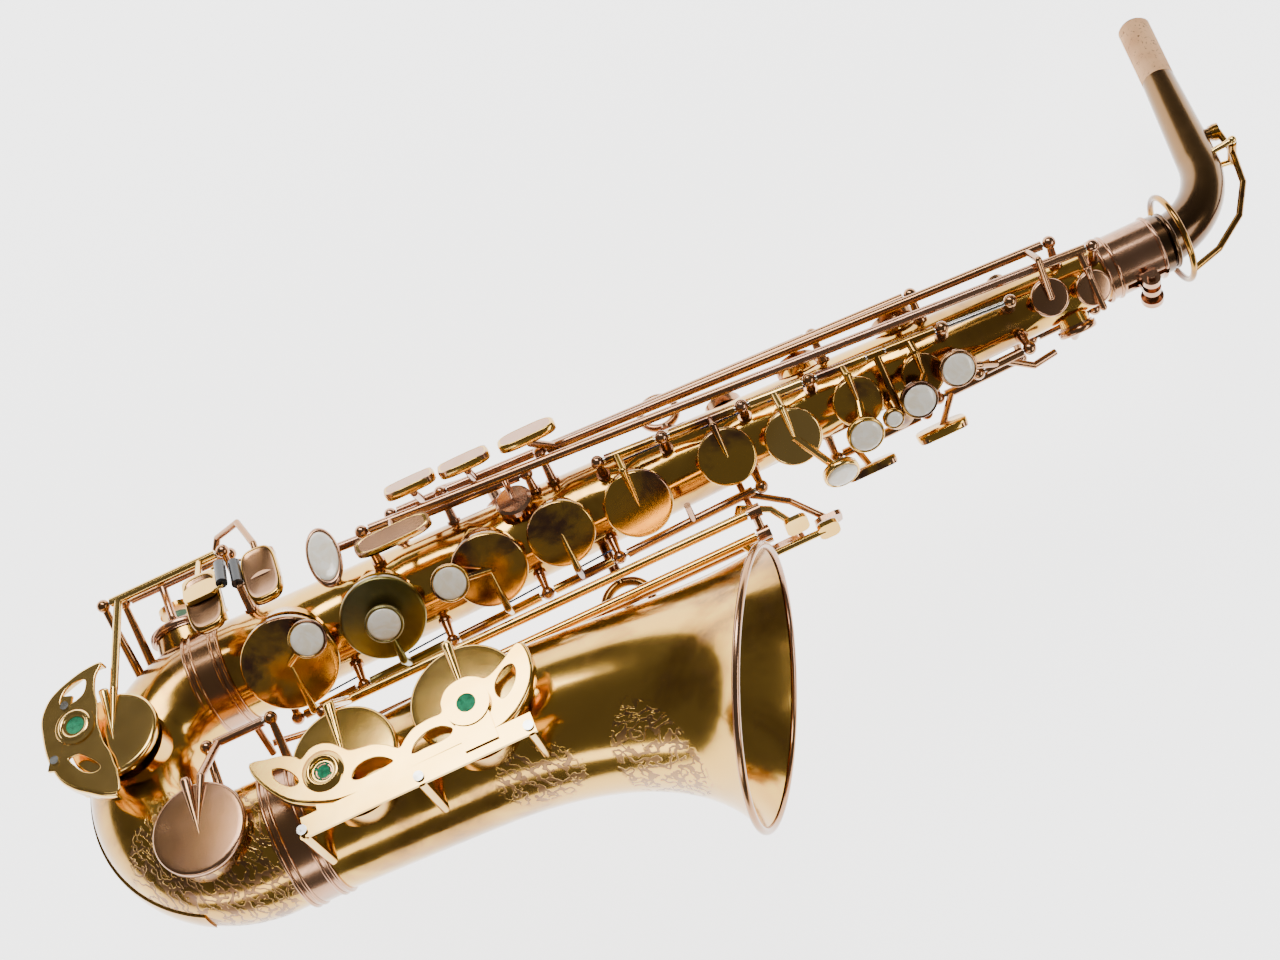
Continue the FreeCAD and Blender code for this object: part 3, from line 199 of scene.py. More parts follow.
GOLD = rgb(0.68, 0.39, 0.075)
DEEP_GOLD = rgb(0.40, 0.20, 0.035)
PALE_GOLD = rgb(0.82, 0.53, 0.16)
PLUM = rgb(0.20, 0.095, 0.06)
COPPER = rgb(0.38, 0.19, 0.08)
ROSE = rgb(0.46, 0.25, 0.15)
UMBER = rgb(0.11, 0.045, 0.02)
GREEN_RUST = rgb(0.19, 0.15, 0.03)


def metal(name, bright, deep, stain, amount, rough=0.17, grime=0.3, wear=90.0, cells=9.0, carve=None):
    """Old lacquered metal: broad clouds of two tones, stains that gather in spots, fine scratches.
    carve, where given, says how deep the engraving is at each place."""
    net = Net(name)
    cloud = net.noise(cells, 4.0, 0.6, 0.6)
    patches = net.noise(wear, 5.0, 0.62, 0.4)
    specks = net.noise(900.0, 2.0, 0.7)
    drift = net.steps(cloud, 0.40, 0.62)
    marks = net.steps(cloud * 0.55 + patches * 0.45, 0.62 - 0.25 * amount, 0.74 - 0.1 * amount)
    colour = net.mix(drift, bright, deep)
    colour = net.mix(marks * (0.35 + 0.65 * amount), colour, stain)
    pits = net.steps(specks, 0.66, 0.78)
    colour = net.mix(pits * grime, colour, stain)
    shine = patches * 0.10 + marks * 0.10 + (rough - 0.05)
    fine = net.noise(2600.0, 2.0, 0.5)
    height = (fine * 0.5 + specks * 0.5) * 0.06
    if carve:
        depth = carve(net)
        colour = net.mix(depth * 0.75, colour, stain)
        height = height - depth
        shine = shine + depth * 0.15
    relief = net.bump(height, 0.0002, 0.6)
    return net.finish({"Base Color": colour, "Metallic": 1.0, "Roughness": shine, "Normal": relief,
                       "Coat Weight": 0.25, "Coat Roughness": 0.08})


def scroll_lines(net, scale, warp):
    """Thin wandering lines, as a graver leaves them in leaf work."""
    waves = net.node("ShaderNodeTexWave", {"wave_type": "RINGS", "rings_direction": "SPHERICAL"}, {
        "Vector": net.where, "Scale": scale, "Distortion": warp, "Detail": 2.0, "Detail Scale": 1.6}, "Fac")
    return net.steps(waves, 0.78, 0.92)


def near(net, middle, sizes):
    """One inside an ellipsoid and zero outside, softly; middle and sizes are in metres."""
    total = None
    for axis in range(3):
        share = (net.part(axis) - middle[axis]) * (1.0 / sizes[axis])
        total = share * share if total is None else total + share * share
    ragged = total + net.noise(120.0, 2.0) * 0.5
    return net.steps(ragged, 0.95, 1.15) * -1.0 + 1.0


def bell_leaves(net):
    """Two patches of leaf work on the bell's side."""
    patches = near(net, (-0.024, -0.174, -0.113), (0.03, 0.03, 0.028)) + near(
        net, (-0.016, -0.180, -0.063), (0.035, 0.04, 0.019))
    return net.clamp(patches) * net.clamp(scroll_lines(net, 95.0, 9.0) + scroll_lines(net, 60.0, 14.0))


def bow_leaves(net):
    """One broad patch of leaf work on the bow's side and front."""
    patch = near(net, (-0.022, -0.139, -0.258), (0.05, 0.05, 0.042))
    return patch * net.clamp(scroll_lines(net, 80.0, 11.0) + scroll_lines(net, 52.0, 16.0))


def scratched_steel(name, tone):
    """Turned steel: dull and bright rings with tiny scratches."""
    net = Net(name)
    cloud = net.noise(160.0, 3.0)
    lines = net.noise(1800.0, 3.0, 0.7)
    colour = net.mix(net.steps(cloud, 0.4, 0.7), tone, rgb(tone[0] * 0.6, tone[1] * 0.55, tone[2] * 0.5))
    return net.finish({"Base Color": colour, "Metallic": 1.0, "Roughness": lines * 0.15 + 0.14,
                       "Normal": net.bump(lines, 0.00001, 0.5)})


def pearl_shell(name):
    """Mother-of-pearl: soft cream with drifting pink and green clouds under a polished face."""
    net = Net(name)
    drift = net.noise(130.0, 3.0, 0.5, 1.5)
    veins = net.noise(420.0, 4.0, 0.6, 2.5)
    colour = net.mix(net.steps(drift, 0.35, 0.65), rgb(0.84, 0.74, 0.56), rgb(0.92, 0.87, 0.76))
    colour = net.mix(net.steps(veins, 0.55, 0.75) * 0.5, colour, rgb(0.72, 0.80, 0.70))
    colour = net.mix(net.steps(veins, 0.28, 0.42), rgb(0.95, 0.82, 0.78), colour)
    return net.finish({"Base Color": colour, "Roughness": veins * 0.1 + 0.14, "Coat Weight": 0.6,
                       "Coat Roughness": 0.04, "Specular IOR Level": 0.6,
                       "Normal": net.bump(veins, 0.00003, 0.3)})


def cork_sheet(name):
    """Sanded cork: tan grains with dark flecks and open pores."""
    net = Net(name)
    grains = net.node("ShaderNodeTexVoronoi", {}, {"Vector": net.where, "Scale": 900.0}, "Distance")
    flecks = net.noise(520.0, 3.0, 0.65, 0.8)
    broad = net.noise(60.0, 3.0)
    colour = net.mix(net.steps(broad, 0.35, 0.7), rgb(0.72, 0.40, 0.19), rgb(0.58, 0.29, 0.12))
    dark = net.steps(flecks, 0.60, 0.68)
    colour = net.mix(dark, colour, rgb(0.16, 0.075, 0.03))
    return net.finish({"Base Color": colour, "Roughness": flecks * 0.2 + 0.65,
                       "Normal": net.bump(grains - dark * 0.8, 0.00012, 0.8)})


def wool_felt(name, tone, shade):
    """Pressed felt: short tangled fibres, paler where they stand up."""
    net = Net(name)
    tangle = net.noise(2400.0, 4.0, 0.7, 1.2)
    clumps = net.noise(500.0, 3.0)
    colour = net.mix(net.steps(tangle * 0.6 + clumps * 0.4, 0.38, 0.62), shade, tone)
    return net.finish({"Base Color": colour, "Roughness": 0.95, "Sheen Weight": 0.4,
                       "Normal": net.bump(tangle, 0.0002, 0.9)})


def black_roller(name):
    """Polished black plastic with faint handling scratches."""
    net = Net(name)
    haze = net.noise(300.0, 4.0, 0.6)
    lines = net.noise(1500.0, 2.0, 0.5)
    colour = net.mix(haze, rgb(0.006, 0.006, 0.007), rgb(0.02, 0.02, 0.022))
    return net.finish({"Base Color": colour, "Roughness": haze * 0.2 + 0.08,
                       "Normal": net.bump(lines, 0.00001, 0.4)})


YELLOW = metal("yellow_lacquer", GOLD, DEEP_GOLD, PLUM, 0.45, 0.13, 0.2, cells=14.0)
BELL_BRASS = metal("engraved_bell", GOLD, DEEP_GOLD, PLUM, 0.5, 0.15, 0.2, cells=11.0, carve=bell_leaves)
BOW_BRASS = metal("engraved_bow", GOLD, DEEP_GOLD, PLUM, 0.5, 0.15, 0.2, cells=13.0, carve=bow_leaves)
BRIGHT = metal("bright_lacquer", PALE_GOLD, GOLD, DEEP_GOLD, 0.2, 0.15, 0.12)
COPPERY = metal("copper_tarnish", COPPER, ROSE, UMBER, 0.35, 0.20, 0.3)
ROSY = metal("rose_tarnish", ROSE, COPPER, UMBER, 0.15, 0.24, 0.2)
BROWN = metal("brown_tarnish", DEEP_GOLD, UMBER, UMBER, 0.4, 0.18, 0.35, cells=34.0)
HALF = metal("half_tarnished", GOLD, PLUM, UMBER, 0.35, 0.17, 0.3, cells=30.0)
DARK = metal("dark_tarnish", rgb(0.19, 0.10, 0.035), rgb(0.10, 0.05, 0.022),
             rgb(0.36, 0.22, 0.10), 0.3, 0.22, 0.4)
MOSSY = metal("green_tarnish", GREEN_RUST, rgb(0.30, 0.25, 0.10), UMBER, 0.4, 0.30, 0.5, 60.0)
STEEL = scratched_steel("turned_steel", rgb(0.62, 0.58, 0.52))
NICKEL = scratched_steel("nickel_screws", rgb(0.72, 0.72, 0.70))
BLUED = scratched_steel("blued_needles", rgb(0.07, 0.10, 0.20))
PEARL = pearl_shell("mother_of_pearl")
CORK = cork_sheet("neck_cork_sheet")
FELT = wool_felt("green_bumper_felt", rgb(0.01, 0.36, 0.16), rgb(0.0, 0.12, 0.05))
ROLLER = black_roller("black_roller")

FINISHES = {
    "body_tube": YELLOW, "bow_tube": BOW_BRASS, "bell_tube": BELL_BRASS, "bell_rim_wire": COPPERY,
    "body_ferrule": COPPERY, "bell_ferrule": COPPERY, "neck_receiver": COPPERY,
    "neck_tube": DARK, "neck_cork": CORK, "neck_octave_saddle": BRIGHT, "neck_octave_rod": STEEL,
    "neck_octave_key": BROWN, "neck_clamp_screw": COPPERY, "key_posts": COPPERY,
    "pivot_rods": STEEL, "needle_springs": BLUED, "guard_screws": NICKEL, "guard_felts": FELT,
    "bell_key_guard": BRIGHT, "low_c_guard": BRIGHT, "low_e_flat_guard": YELLOW,
    "low_b_key": BRIGHT, "low_b_flat_key": BRIGHT, "low_c_key": BRIGHT, "low_c_sharp_key": ROSY,
    "low_c_sharp_lever": COPPERY, "e_key": MOSSY, "d_key": HALF, "f_key": HALF,
    "f_sharp_key": HALF, "g_sharp_key": HALF, "g_key": HALF, "a_key": BRIGHT, "c_key": HALF,
    "bis_key": BROWN, "b_key": BROWN, "bow_guard_strip": YELLOW, "bell_brace": BROWN,
    "low_eb_key": ROSY, "high_f_sharp_key": ROSY, "side_bb_key": COPPERY, "side_c_key": COPPERY,
    "high_e_key": COPPERY, "low_c_roller": ROLLER, "low_e_flat_roller": ROLLER,
}
for name, thing in NODES.items():
    finish = FINISHES.get(name, COPPERY)
    thing.data.materials.clear()
    thing.data.materials.append(finish)


# ---------------------------------------------------------------- the horn's own measures, in mm

BODY_FOOT, BODY_HEAD, BODY_TALL = 24.0, 13.4, 452.0
ORIGIN = np.array([0.0, 33.0, 235.0])
RIM_RISE, PAD_GAP, CUP_RISE, CUP_BEVEL = 3.0, 0.15, 3.4, 1.0
CUP_TOP = PAD_GAP + CUP_RISE + CUP_BEVEL
UP = np.array([0.0, 0.0, 1.0])


def unit(vector):
    """The vector at length one."""
    vector = np.asarray(vector, float)
    return vector / np.linalg.norm(vector)


def outward(azimuth):
    """The level direction away from the body's axis at this azimuth, in degrees."""
    turn = math.radians(azimuth)
    return np.array([-math.sin(turn), -math.cos(turn), 0.0])


def body_radius(height):
    """The body cone's radius, which falls evenly from foot to head."""
    return BODY_FOOT + (BODY_HEAD - BODY_FOOT) * height / BODY_TALL


def on_body(height, azimuth, rise):
    """A point this far out from the body cone's surface."""
    return outward(azimuth) * (body_radius(height) + rise) + UP * height


def turned(points, foot, axis, angle):
    """Points turned about a line by Rodrigues' formula."""
    axis = unit(axis)
    turn = math.radians(angle)
    arm = points - foot
    along = (arm @ axis)[..., None] * axis
    return foot + along + (arm - along) * math.cos(turn) + np.cross(axis, arm) * math.sin(turn)


def stack_point(height, azimuth, rise=11.0):
    """A point on a rod that runs beside the body."""
    return on_body(height, azimuth, rise)


RODS = {
    "lower": (stack_point(26.0, -8.0), stack_point(264.0, 0.0)),
    "upper": (stack_point(199.0, 91.0), stack_point(400.0, 67.0)),
    "low_b": (np.array([-9.0, -45, 40]), np.array([-9.0, -45, 256])),
    "low_bb": (np.array([-2.0, -53, 96]), np.array([-2.0, -53, 256])),
    "low_c": (np.array([-36.0, 40, -36]), np.array([-36.0, 40, 28])),
    "low_cs": (np.array([-24.0, -46, -10]), np.array([-24.0, -46, 24])),
    "low_eb": (np.array([-25.0, 45, -30]), np.array([-25.0, 45, 28])),
    "side_e": (stack_point(176.0, 127.0, 15.0), stack_point(430.0, 110.0, 13.0)),
    "high_fs": (stack_point(88.0, 112.0, 19.0), stack_point(446.0, 84.0, 12.0)),
    "palm_d": (stack_point(300.0, -60.0, 13.0), stack_point(351.0, -60.0, 13.0)),
    "palm_eb": (stack_point(356.0, -76.0, 14.0), stack_point(403.0, -76.0, 14.0)),
    "palm_f": (stack_point(407.0, -84.0, 9.0), stack_point(444.0, -84.0, 9.0)),
}


class Seat:
    """Where a cup sits: its middle on the rim, its facing, and the turn that holds it open."""

    def __init__(self, centre, normal, tube, cup, upward=UP, rod=None, open_angle=0.0):
        self.centre, self.normal, self.tube, self.cup = np.asarray(centre, float), unit(normal), tube, cup
        self.sideways = unit(np.cross(self.normal, upward))
        self.along = np.cross(self.sideways, self.normal)
        self.rod, self.angle = rod, 0.0
        if rod:
            low, high = RODS[rod]
            spot = self.flat(0.0, 0.0, 0.0)
            sign = 1.0 if np.cross(unit(high - low), spot - low) @ self.normal > 0 else -1.0
            self.angle = sign * open_angle

    def flat(self, rise, along, aside):
        rise, along, aside = np.broadcast_arrays(rise, along, aside)
        out = self.centre + self.normal * (self.tube + RIM_RISE + rise)[..., None]
        return out + self.along * along[..., None] + self.sideways * aside[..., None]

    def opened(self, points):
        """Points of the closed key, where they are while it stands open."""
        if not self.rod:
            return points
        low, high = RODS[self.rod]
        return turned(points, low, high - low, self.angle)

    def at(self, rise, along, aside):
        return self.opened(self.flat(rise, along, aside))


def body_seat(height, azimuth, cup, rod=None, angle=0.0):
    """A cup's seat on the body cone."""
    return Seat(UP * height, outward(azimuth), body_radius(height), cup, UP, rod, angle)


BOW = 46.0


def bow_seat(around, normal, cup, rod=None, angle=0.0):
    """A cup's seat on the bow, around degrees past its start."""
    turn = math.radians(around)
    centre = np.array([0.0, BOW * (math.cos(turn) - 1), -BOW * math.sin(turn)])
    return Seat(centre, normal, 24.0 + 6.0 * around / 180.0, cup,
                np.array([0.0, math.sin(turn), math.cos(turn)]), rod, angle)


def bell_tube_radius(along):
    arc = 100.0 + 278.0 * math.radians(27.0)
    return 30.0 + 0.0345 * along + 23.0 * np.exp((along - arc) / 33.0)


def bell_seat(height, azimuth, cup, rod=None, angle=0.0):
    return Seat(np.array([0.0, -92.0, height]), outward(azimuth), float(bell_tube_radius(height)), cup,
                UP, rod, angle)


OPEN = 10.0
BELL_OPEN = 5.5
SEATS = {
    "d_key": body_seat(38.0, 49.0, 22.0, "lower", OPEN),
    "e_key": body_seat(84.0, 50.0, 19.3, "lower", OPEN),
    "f_key": body_seat(136.0, 48.0, 17.5, "lower", OPEN),
    "f_sharp_key": body_seat(172.0, 50.0, 15.5, "lower", OPEN),
    "g_sharp_key": body_seat(209.0, 39.0, 15.8, "upper"),
    "g_key": body_seat(254.0, 44.0, 13.3, "upper", OPEN),
    "a_key": body_seat(285.0, 33.0, 13.1, "upper", OPEN),
    "c_key": body_seat(318.0, 38.0, 11.4, "upper", OPEN),
    "b_key": body_seat(350.0, 34.0, 9.8, "upper", OPEN),
    "bis_key": body_seat(334.0, -12.0, 6.0, "upper", OPEN),
    "high_e_key": body_seat(417.0, 53.0, 8.7, "side_e"),
    "high_f_sharp_key": body_seat(437.0, 40.0, 8.2, "high_fs"),
    "palm_d_key": body_seat(341.0, -100.0, 9.8, "palm_d"),
    "palm_e_flat_key": body_seat(386.0, -112.0, 9.0, "palm_eb"),
    "palm_f_key": body_seat(427.0, -36.0, 9.0, "palm_f"),
    "low_c_key": bow_seat(68.0, (-1, 0, 0), 20.5, "low_c", 5.0),
    "low_c_sharp_key": bow_seat(158.0, (-1, 0, 0), 21.0, "low_cs"),
    "low_eb_key": bow_seat(12.0, outward(168.0), 16.5, "low_eb"),
    "low_b_key": bell_seat(53.0, 87.0, 23.5, "low_b", BELL_OPEN),
    "low_b_flat_key": bell_seat(110.0, 87.0, 24.5, "low_bb", BELL_OPEN),
}


def place(points):
    """Millimetres about the body's axis to metres in the shared frame."""
    return (np.asarray(points, float) - ORIGIN) / 1000.0


def surface(name, grid, body, finish, wrap_u=False, wrap_v=True, caps=True, smooth=True):
    """A mesh over a grid of points: rows run along u, columns along v; wrapped sides join up."""
    rows, columns = grid.shape[:2]
    count_u = rows if wrap_u else rows - 1
    count_v = columns if wrap_v else columns - 1
    one, two = np.meshgrid(np.arange(count_u), np.arange(count_v), indexing="ij")
    next_one, next_two = (one + 1) % rows, (two + 1) % columns
    quads = np.stack([one * columns + two, one * columns + next_two,
                      next_one * columns + next_two, next_one * columns + two], -1).reshape(-1, 4)
    faces = quads.tolist()
    if caps and wrap_v and not wrap_u:
        faces.append(list(range(columns))[::-1])
        faces.append([(rows - 1) * columns + item for item in range(columns)])
    mesh = bpy.data.meshes.new(name)
    mesh.from_pydata(place(grid).reshape(-1, 3).tolist(), [], faces)
    mesh.polygons.foreach_set("use_smooth", [smooth] * len(mesh.polygons))
    mesh.materials.append(finish)
    mesh.update()
    thing = bpy.data.objects.new(name, mesh)
    bpy.context.scene.collection.objects.link(thing)
    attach(thing, body)
    return thing


def lathe(seat, profile, count=64):
    """Rings about a seat's middle: each profile entry is a radius and a rise above the rim."""
    radius, rise = np.array(profile, float).T
    turn = np.linspace(0, 2 * math.pi, count, endpoint=False)
    along = radius[:, None] * np.cos(turn)
    aside = radius[:, None] * np.sin(turn)
    return seat.at(np.broadcast_to(rise[:, None], along.shape), along, aside)


def cup_cap(node, seat, finish):
    """The cup's sheet: a wall, a rounded shoulder and a barely crowned top, as a lathe profile."""
    edge = seat.cup + 0.12
    low, top = PAD_GAP + 0.9, CUP_TOP + 0.1
    bend = np.linspace(0, math.pi / 2, 7)
    profile = [(edge - 0.5, low), (edge, low), (edge, top - 2.0)]
    profile += [(edge - 1.5 + 1.5 * math.cos(a), top - 1.5 + 1.5 * math.sin(a)) for a in bend]
    crown = np.linspace(0.92, 0.02, 10)
    profile += [((edge - 1.5) * s, top + 0.45 * (1 - s * s) * (s < 0.99)) for s in crown]
    return surface(node + "_cap", lathe(seat, profile), node, finish)


def cup_spine(node, seat, finish, width, tall, past):
    """The pointed rib on a cup: an oval section whose width and height shrink to a point past the middle."""
    low, high = RODS[seat.rod]
    level = seat.flat(0.0, 0.0, 0.0)
    share = (level[2] - low[2]) / (high[2] - low[2])
    toward = low + (high - low) * share - level
    heading = unit([toward @ seat.along, toward @ seat.sideways])
    across = np.array([-heading[1], heading[0]])
    far = min(seat.cup + 2.5, float(np.hypot(toward @ seat.along, toward @ seat.sideways)))
    u = np.linspace(0.0, 1.0, 26)
    phi = np.linspace(0, 2 * math.pi, 14, endpoint=False)
    run = far - (far + past) * u
    fade = (1 - u ** 1.4)[:, None]
    half = (0.15 + width * fade ** 0.9) * np.cos(phi)
    climb = 0.9 * (np.clip(run / far, 0, 1)[:, None] ** 6)
    lift = CUP_TOP + 0.25 + (0.12 + tall * fade) * np.sin(phi) + climb
    along = run[:, None] * heading[0] + half * across[0]
    aside = run[:, None] * heading[1] + half * across[1]
    return surface(node + "_spine", seat.at(lift, along, aside)[:, ::-1], node, finish)


for node, seat in SEATS.items():
    finish = FINISHES.get(node, COPPERY)
    cup_cap(node, seat, finish)
    broad = seat.cup > 20.0 and node != "d_key"
    cup_spine(node, seat, finish, 2.3 if broad else 1.7, 2.1 if broad else 1.6,
              5.0 if broad else 1.0 + seat.cup * 0.1)


def pearl_button(name, body, middle, normal, radius, seat=None, wide=1.0):
    """A pearl in its holder: a rounded ring wall and a disc whose height falls with the sixth power of r."""
    helper = Seat(middle, normal, -RIM_RISE, radius)
    profile = [(radius * s, 3.5 + 0.75 * (1 - s ** 6)) for s in np.linspace(0.03, 1.0, 14)]
    profile += [(radius + 0.02, 2.4)]
    disc = np.array(profile)[::-1]
    ring = [(radius + 0.1, 1.3), (radius + 1.35, 1.0), (radius + 1.45, 2.2), (radius + 1.2, 3.2),
            (radius + 0.65, 3.6), (radius + 0.15, 3.4)]
    for kind, rows, finish in (("face", disc, PEARL), ("rim", ring, FINISHES.get(body, COPPERY))):
        radii, rise = np.array(rows, float).T
        turn = np.linspace(0, 2 * math.pi, 56, endpoint=False)
        along = radii[:, None] * np.cos(turn)
        aside = radii[:, None] * np.sin(turn) * wide
        grid = helper.flat(np.broadcast_to(rise[:, None], along.shape), along, aside)
        if seat:
            grid = seat.opened(grid)
        surface("%s_%s" % (name, kind), grid, body, finish,
                wrap_u=(kind == "rim"), caps=(kind == "face"))


for name, body, height, azimuth, rise in (
        ("pearl_d", "d_key", 52.0, 63.0, 17.0), ("pearl_e", "e_key", 85.0, 51.0, 16.0),
        ("pearl_f", "f_key", 119.0, 57.0, 17.0), ("pearl_a", "a_key", 298.0, -8.0, 17.0),
        ("pearl_c", "c_key", 314.0, 16.0, 17.0), ("pearl_b", "b_key", 342.0, 23.0, 17.0)):
    pearl_button(name, body, on_body(height, azimuth, rise), outward(azimuth), 7.3, SEATS[body])
pearl_button("pearl_front_f", "front_f_key", on_body(364.0, 34.0, 16.0), outward(34.0), 7.3)
pearl_button("pearl_trill", "trill_f_sharp_key", on_body(72.0, 96.0, 22.4), outward(90.0), 6.4, None, 2.1)
pearl_button("pearl_bis", "bis_key", on_body(328.5, 17.5, 16.0), outward(17.5), 3.6, SEATS["bis_key"])


def touch_plate(name, body, middle, normal, length, width, face, rim):
    """A dished touch: superellipse rings |x/a|^3.4 + |y/b|^3.4 = 1, sunk in the middle by rho squared."""
    helper = Seat(middle, normal, -RIM_RISE, length)
    turn = np.linspace(0, 2 * math.pi, 72, endpoint=False)
    swell = (np.abs(np.cos(turn)) ** 3.4 + np.abs(np.sin(turn)) ** 3.4) ** (-1 / 3.4)
    inner = [(rho, 1.35 + 0.9 * (rho / 0.84) ** 2) for rho in np.linspace(0.04, 0.84, 9)]
    outer = [(0.87, 2.45), (0.92, 2.5), (0.97, 2.2), (1.0, 1.5), (1.0, -1.2), (0.96, -1.7), (0.1, -1.75)]
    share, rise = np.array((inner + outer)[::-1], float).T
    along = share[:, None] * swell * np.cos(turn) * length / 2
    aside = share[:, None] * swell * np.sin(turn) * width / 2
    grid = helper.flat(np.broadcast_to(rise[:, None], along.shape), along, aside)
    thing = surface(name, grid, body, rim)
    thing.data.materials.append(face)
    first = (len(outer) - 1) * len(turn)
    last = len(thing.data.polygons) - 2
    marks = [int(first <= index < last or index == last + 1) for index in range(last + 2)]
    thing.data.polygons.foreach_set("material_index", marks)


for name, body, height, azimuth, rise, facing, length, width, face, rim in (
        ("touch_bb", "side_bb_key", 118.5, 121.0, 27.0, 121.0, 25.0, 11.0, ROSY, BRIGHT),
        ("touch_c", "side_c_key", 145.0, 119.0, 27.0, 119.0, 25.0, 11.0, ROSY, BRIGHT),
        ("touch_e", "high_e_key", 176.0, 119.0, 27.0, 119.0, 28.0, 12.0, ROSY, BRIGHT),
        ("touch_fs", "high_f_sharp_key", 104.0, 91.0, 23.0, 91.0, 36.6, 9.4, ROSY, BRIGHT),
        ("touch_low_c", "low_c_key", 16.0, 96.0, 28.3, 94.0, 16.8, 31.0, ROSY, YELLOW),
        ("touch_low_eb", "low_eb_key", 44.0, 98.0, 28.3, 96.0, 16.8, 31.0, ROSY, YELLOW),
        ("touch_palm_d", "palm_d_key", 314.0, -40.0, 21.0, -40.0, 25.0, 12.0, COPPERY, HALF),
        ("touch_palm_eb", "palm_e_flat_key", 352.0, -50.0, 21.0, -50.0, 25.0, 12.0, COPPERY, HALF),
        ("touch_palm_f", "palm_f_key", 410.0, -118.0, 21.0, -118.0, 25.0, 12.0, COPPERY, HALF)):
    touch_plate(name, body, on_body(height, azimuth, rise), outward(facing), length, width, face, rim)


# ---------------------------------------------------------------- guards

def smooth_loop(points, steps=7):
    """A closed Catmull-Rom loop through the points: cubic pieces whose slopes are half the chords."""
    spot = np.asarray(points, float)
    before, after, later = np.roll(spot, 1, 0), np.roll(spot, -1, 0), np.roll(spot, -2, 0)
    t = np.linspace(0, 1, steps, endpoint=False)[:, None, None]
    curve = 0.5 * (2 * spot + (after - before) * t + (2 * before - 5 * spot + 4 * after - later) * t ** 2
                   + (3 * spot - before - 3 * after + later) * t ** 3)
    return curve.transpose(1, 0, 2).reshape(-1, 2)


def ring_loop(centre, radius, count=40):
    """A circle as a closed loop of points."""
    turn = np.linspace(0, 2 * math.pi, count, endpoint=False)
    return np.stack([centre[0] + radius * np.cos(turn), centre[1] + radius * np.sin(turn)], -1)


def fret_plate(name, seat, level, loops, thick, edge, finish, body):
    """A flat sheet cut to the first loop, with the other loops open, its edges rounded."""
    curve = bpy.data.curves.new(name, "CURVE")
    curve.dimensions = "2D"
    curve.fill_mode = "BOTH"
    curve.extrude = thick / 2 - edge
    curve.bevel_depth = edge
    curve.bevel_resolution = 2
    for loop in loops:
        spline = curve.splines.new("POLY")
        spline.points.add(len(loop) - 1)
        flat = np.concatenate([loop, np.zeros((len(loop), 1)), np.ones((len(loop), 1))], 1)
        spline.points.foreach_set("co", flat.ravel())
        spline.use_cyclic_u = True
    maker = bpy.data.objects.new(name + "_maker", curve)
    bpy.context.scene.collection.objects.link(maker)
    bpy.context.view_layer.update()
    mesh = bpy.data.meshes.new_from_object(maker.evaluated_get(bpy.context.evaluated_depsgraph_get()))
    bpy.data.objects.remove(maker)
    spots = np.empty(len(mesh.vertices) * 3)
    mesh.vertices.foreach_get("co", spots)
    spots = spots.reshape(-1, 3)
    moved = place(seat.flat(level + spots[:, 2], spots[:, 0], spots[:, 1]))
    mesh.vertices.foreach_set("co", moved.ravel())
    mesh.materials.clear()
    mesh.materials.append(finish)
    merge = bmesh.new()
    merge.from_mesh(mesh)
    bmesh.ops.remove_doubles(merge, verts=merge.verts, dist=1e-6)
    bmesh.ops.recalc_face_normals(merge, faces=merge.faces)
    merge.to_mesh(mesh)
    merge.free()
    mesh.update()
    thing = bpy.data.objects.new(name, mesh)
    bpy.context.scene.collection.objects.link(thing)
    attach(thing, body)
    return thing


def swept_edge(name, seat, level, path, section, finish, body):
    """A section of (outward, rise) pairs carried along a path in the sheet's plane."""
    ahead = np.gradient(path, axis=0)
    ahead /= np.linalg.norm(ahead, axis=1)[:, None]
    out = np.stack([ahead[:, 1], -ahead[:, 0]], -1)
    middle = path.mean(0)
    if np.sum((path - middle) * out) < 0:
        out = -out
        section = section[::-1]
    section = np.asarray(section, float)
    spread = path[:, None, :] + out[:, None, :] * section[None, :, :1]
    rise = np.broadcast_to(level + section[:, 1], spread.shape[:2])
    return surface(name, seat.flat(rise, spread[..., 0], spread[..., 1]), body, finish)


def felt_ring(name, seat, level, along, aside, finish):
    """The raised ring round a felt, its slotted holder in four sectors and the felt's crown."""
    here = Seat(seat.flat(level, along, aside), seat.normal, -RIM_RISE, 9.0, seat.along)
    ring = [(4.9, -1.6), (4.9, 1.3), (5.6, 2.2), (6.6, 2.4), (7.5, 1.8), (8.0, 1.1), (9.3, 0.8), (9.3, -0.7),
            (7.0, -1.6)]
    radii, rise = np.array(ring).T
    turn = np.linspace(0, 2 * math.pi, 64, endpoint=False)
    grid = here.flat(np.broadcast_to(rise[:, None], (len(ring), 64)), radii[:, None] * np.cos(turn),
                     radii[:, None] * np.sin(turn))
    surface(name + "_ring", grid, "horn", finish, wrap_u=True, caps=False)
    for quarter in range(4):
        arc = np.radians(quarter * 90 + 51) + np.linspace(math.radians(6), math.radians(84), 12)
        sector = np.array([(2.3, -1.4), (2.3, -0.1), (3.2, 0.25), (4.85, -0.2), (4.85, -1.4)])
        radii, rise = sector.T
        grid = here.flat(np.broadcast_to(rise[None, :], (12, 5)), np.cos(arc)[:, None] * radii,
                         np.sin(arc)[:, None] * radii)
        surface("%s_holder%d" % (name, quarter), grid, "horn", ROSY)
    crown = [(2.25, -1.6), (2.25, -0.5), (2.0, -0.1), (1.4, 0.15), (0.6, 0.25), (0.05, 0.28)]
    surface(name + "_felt", lathe(here, crown, 32), "horn", FELT)


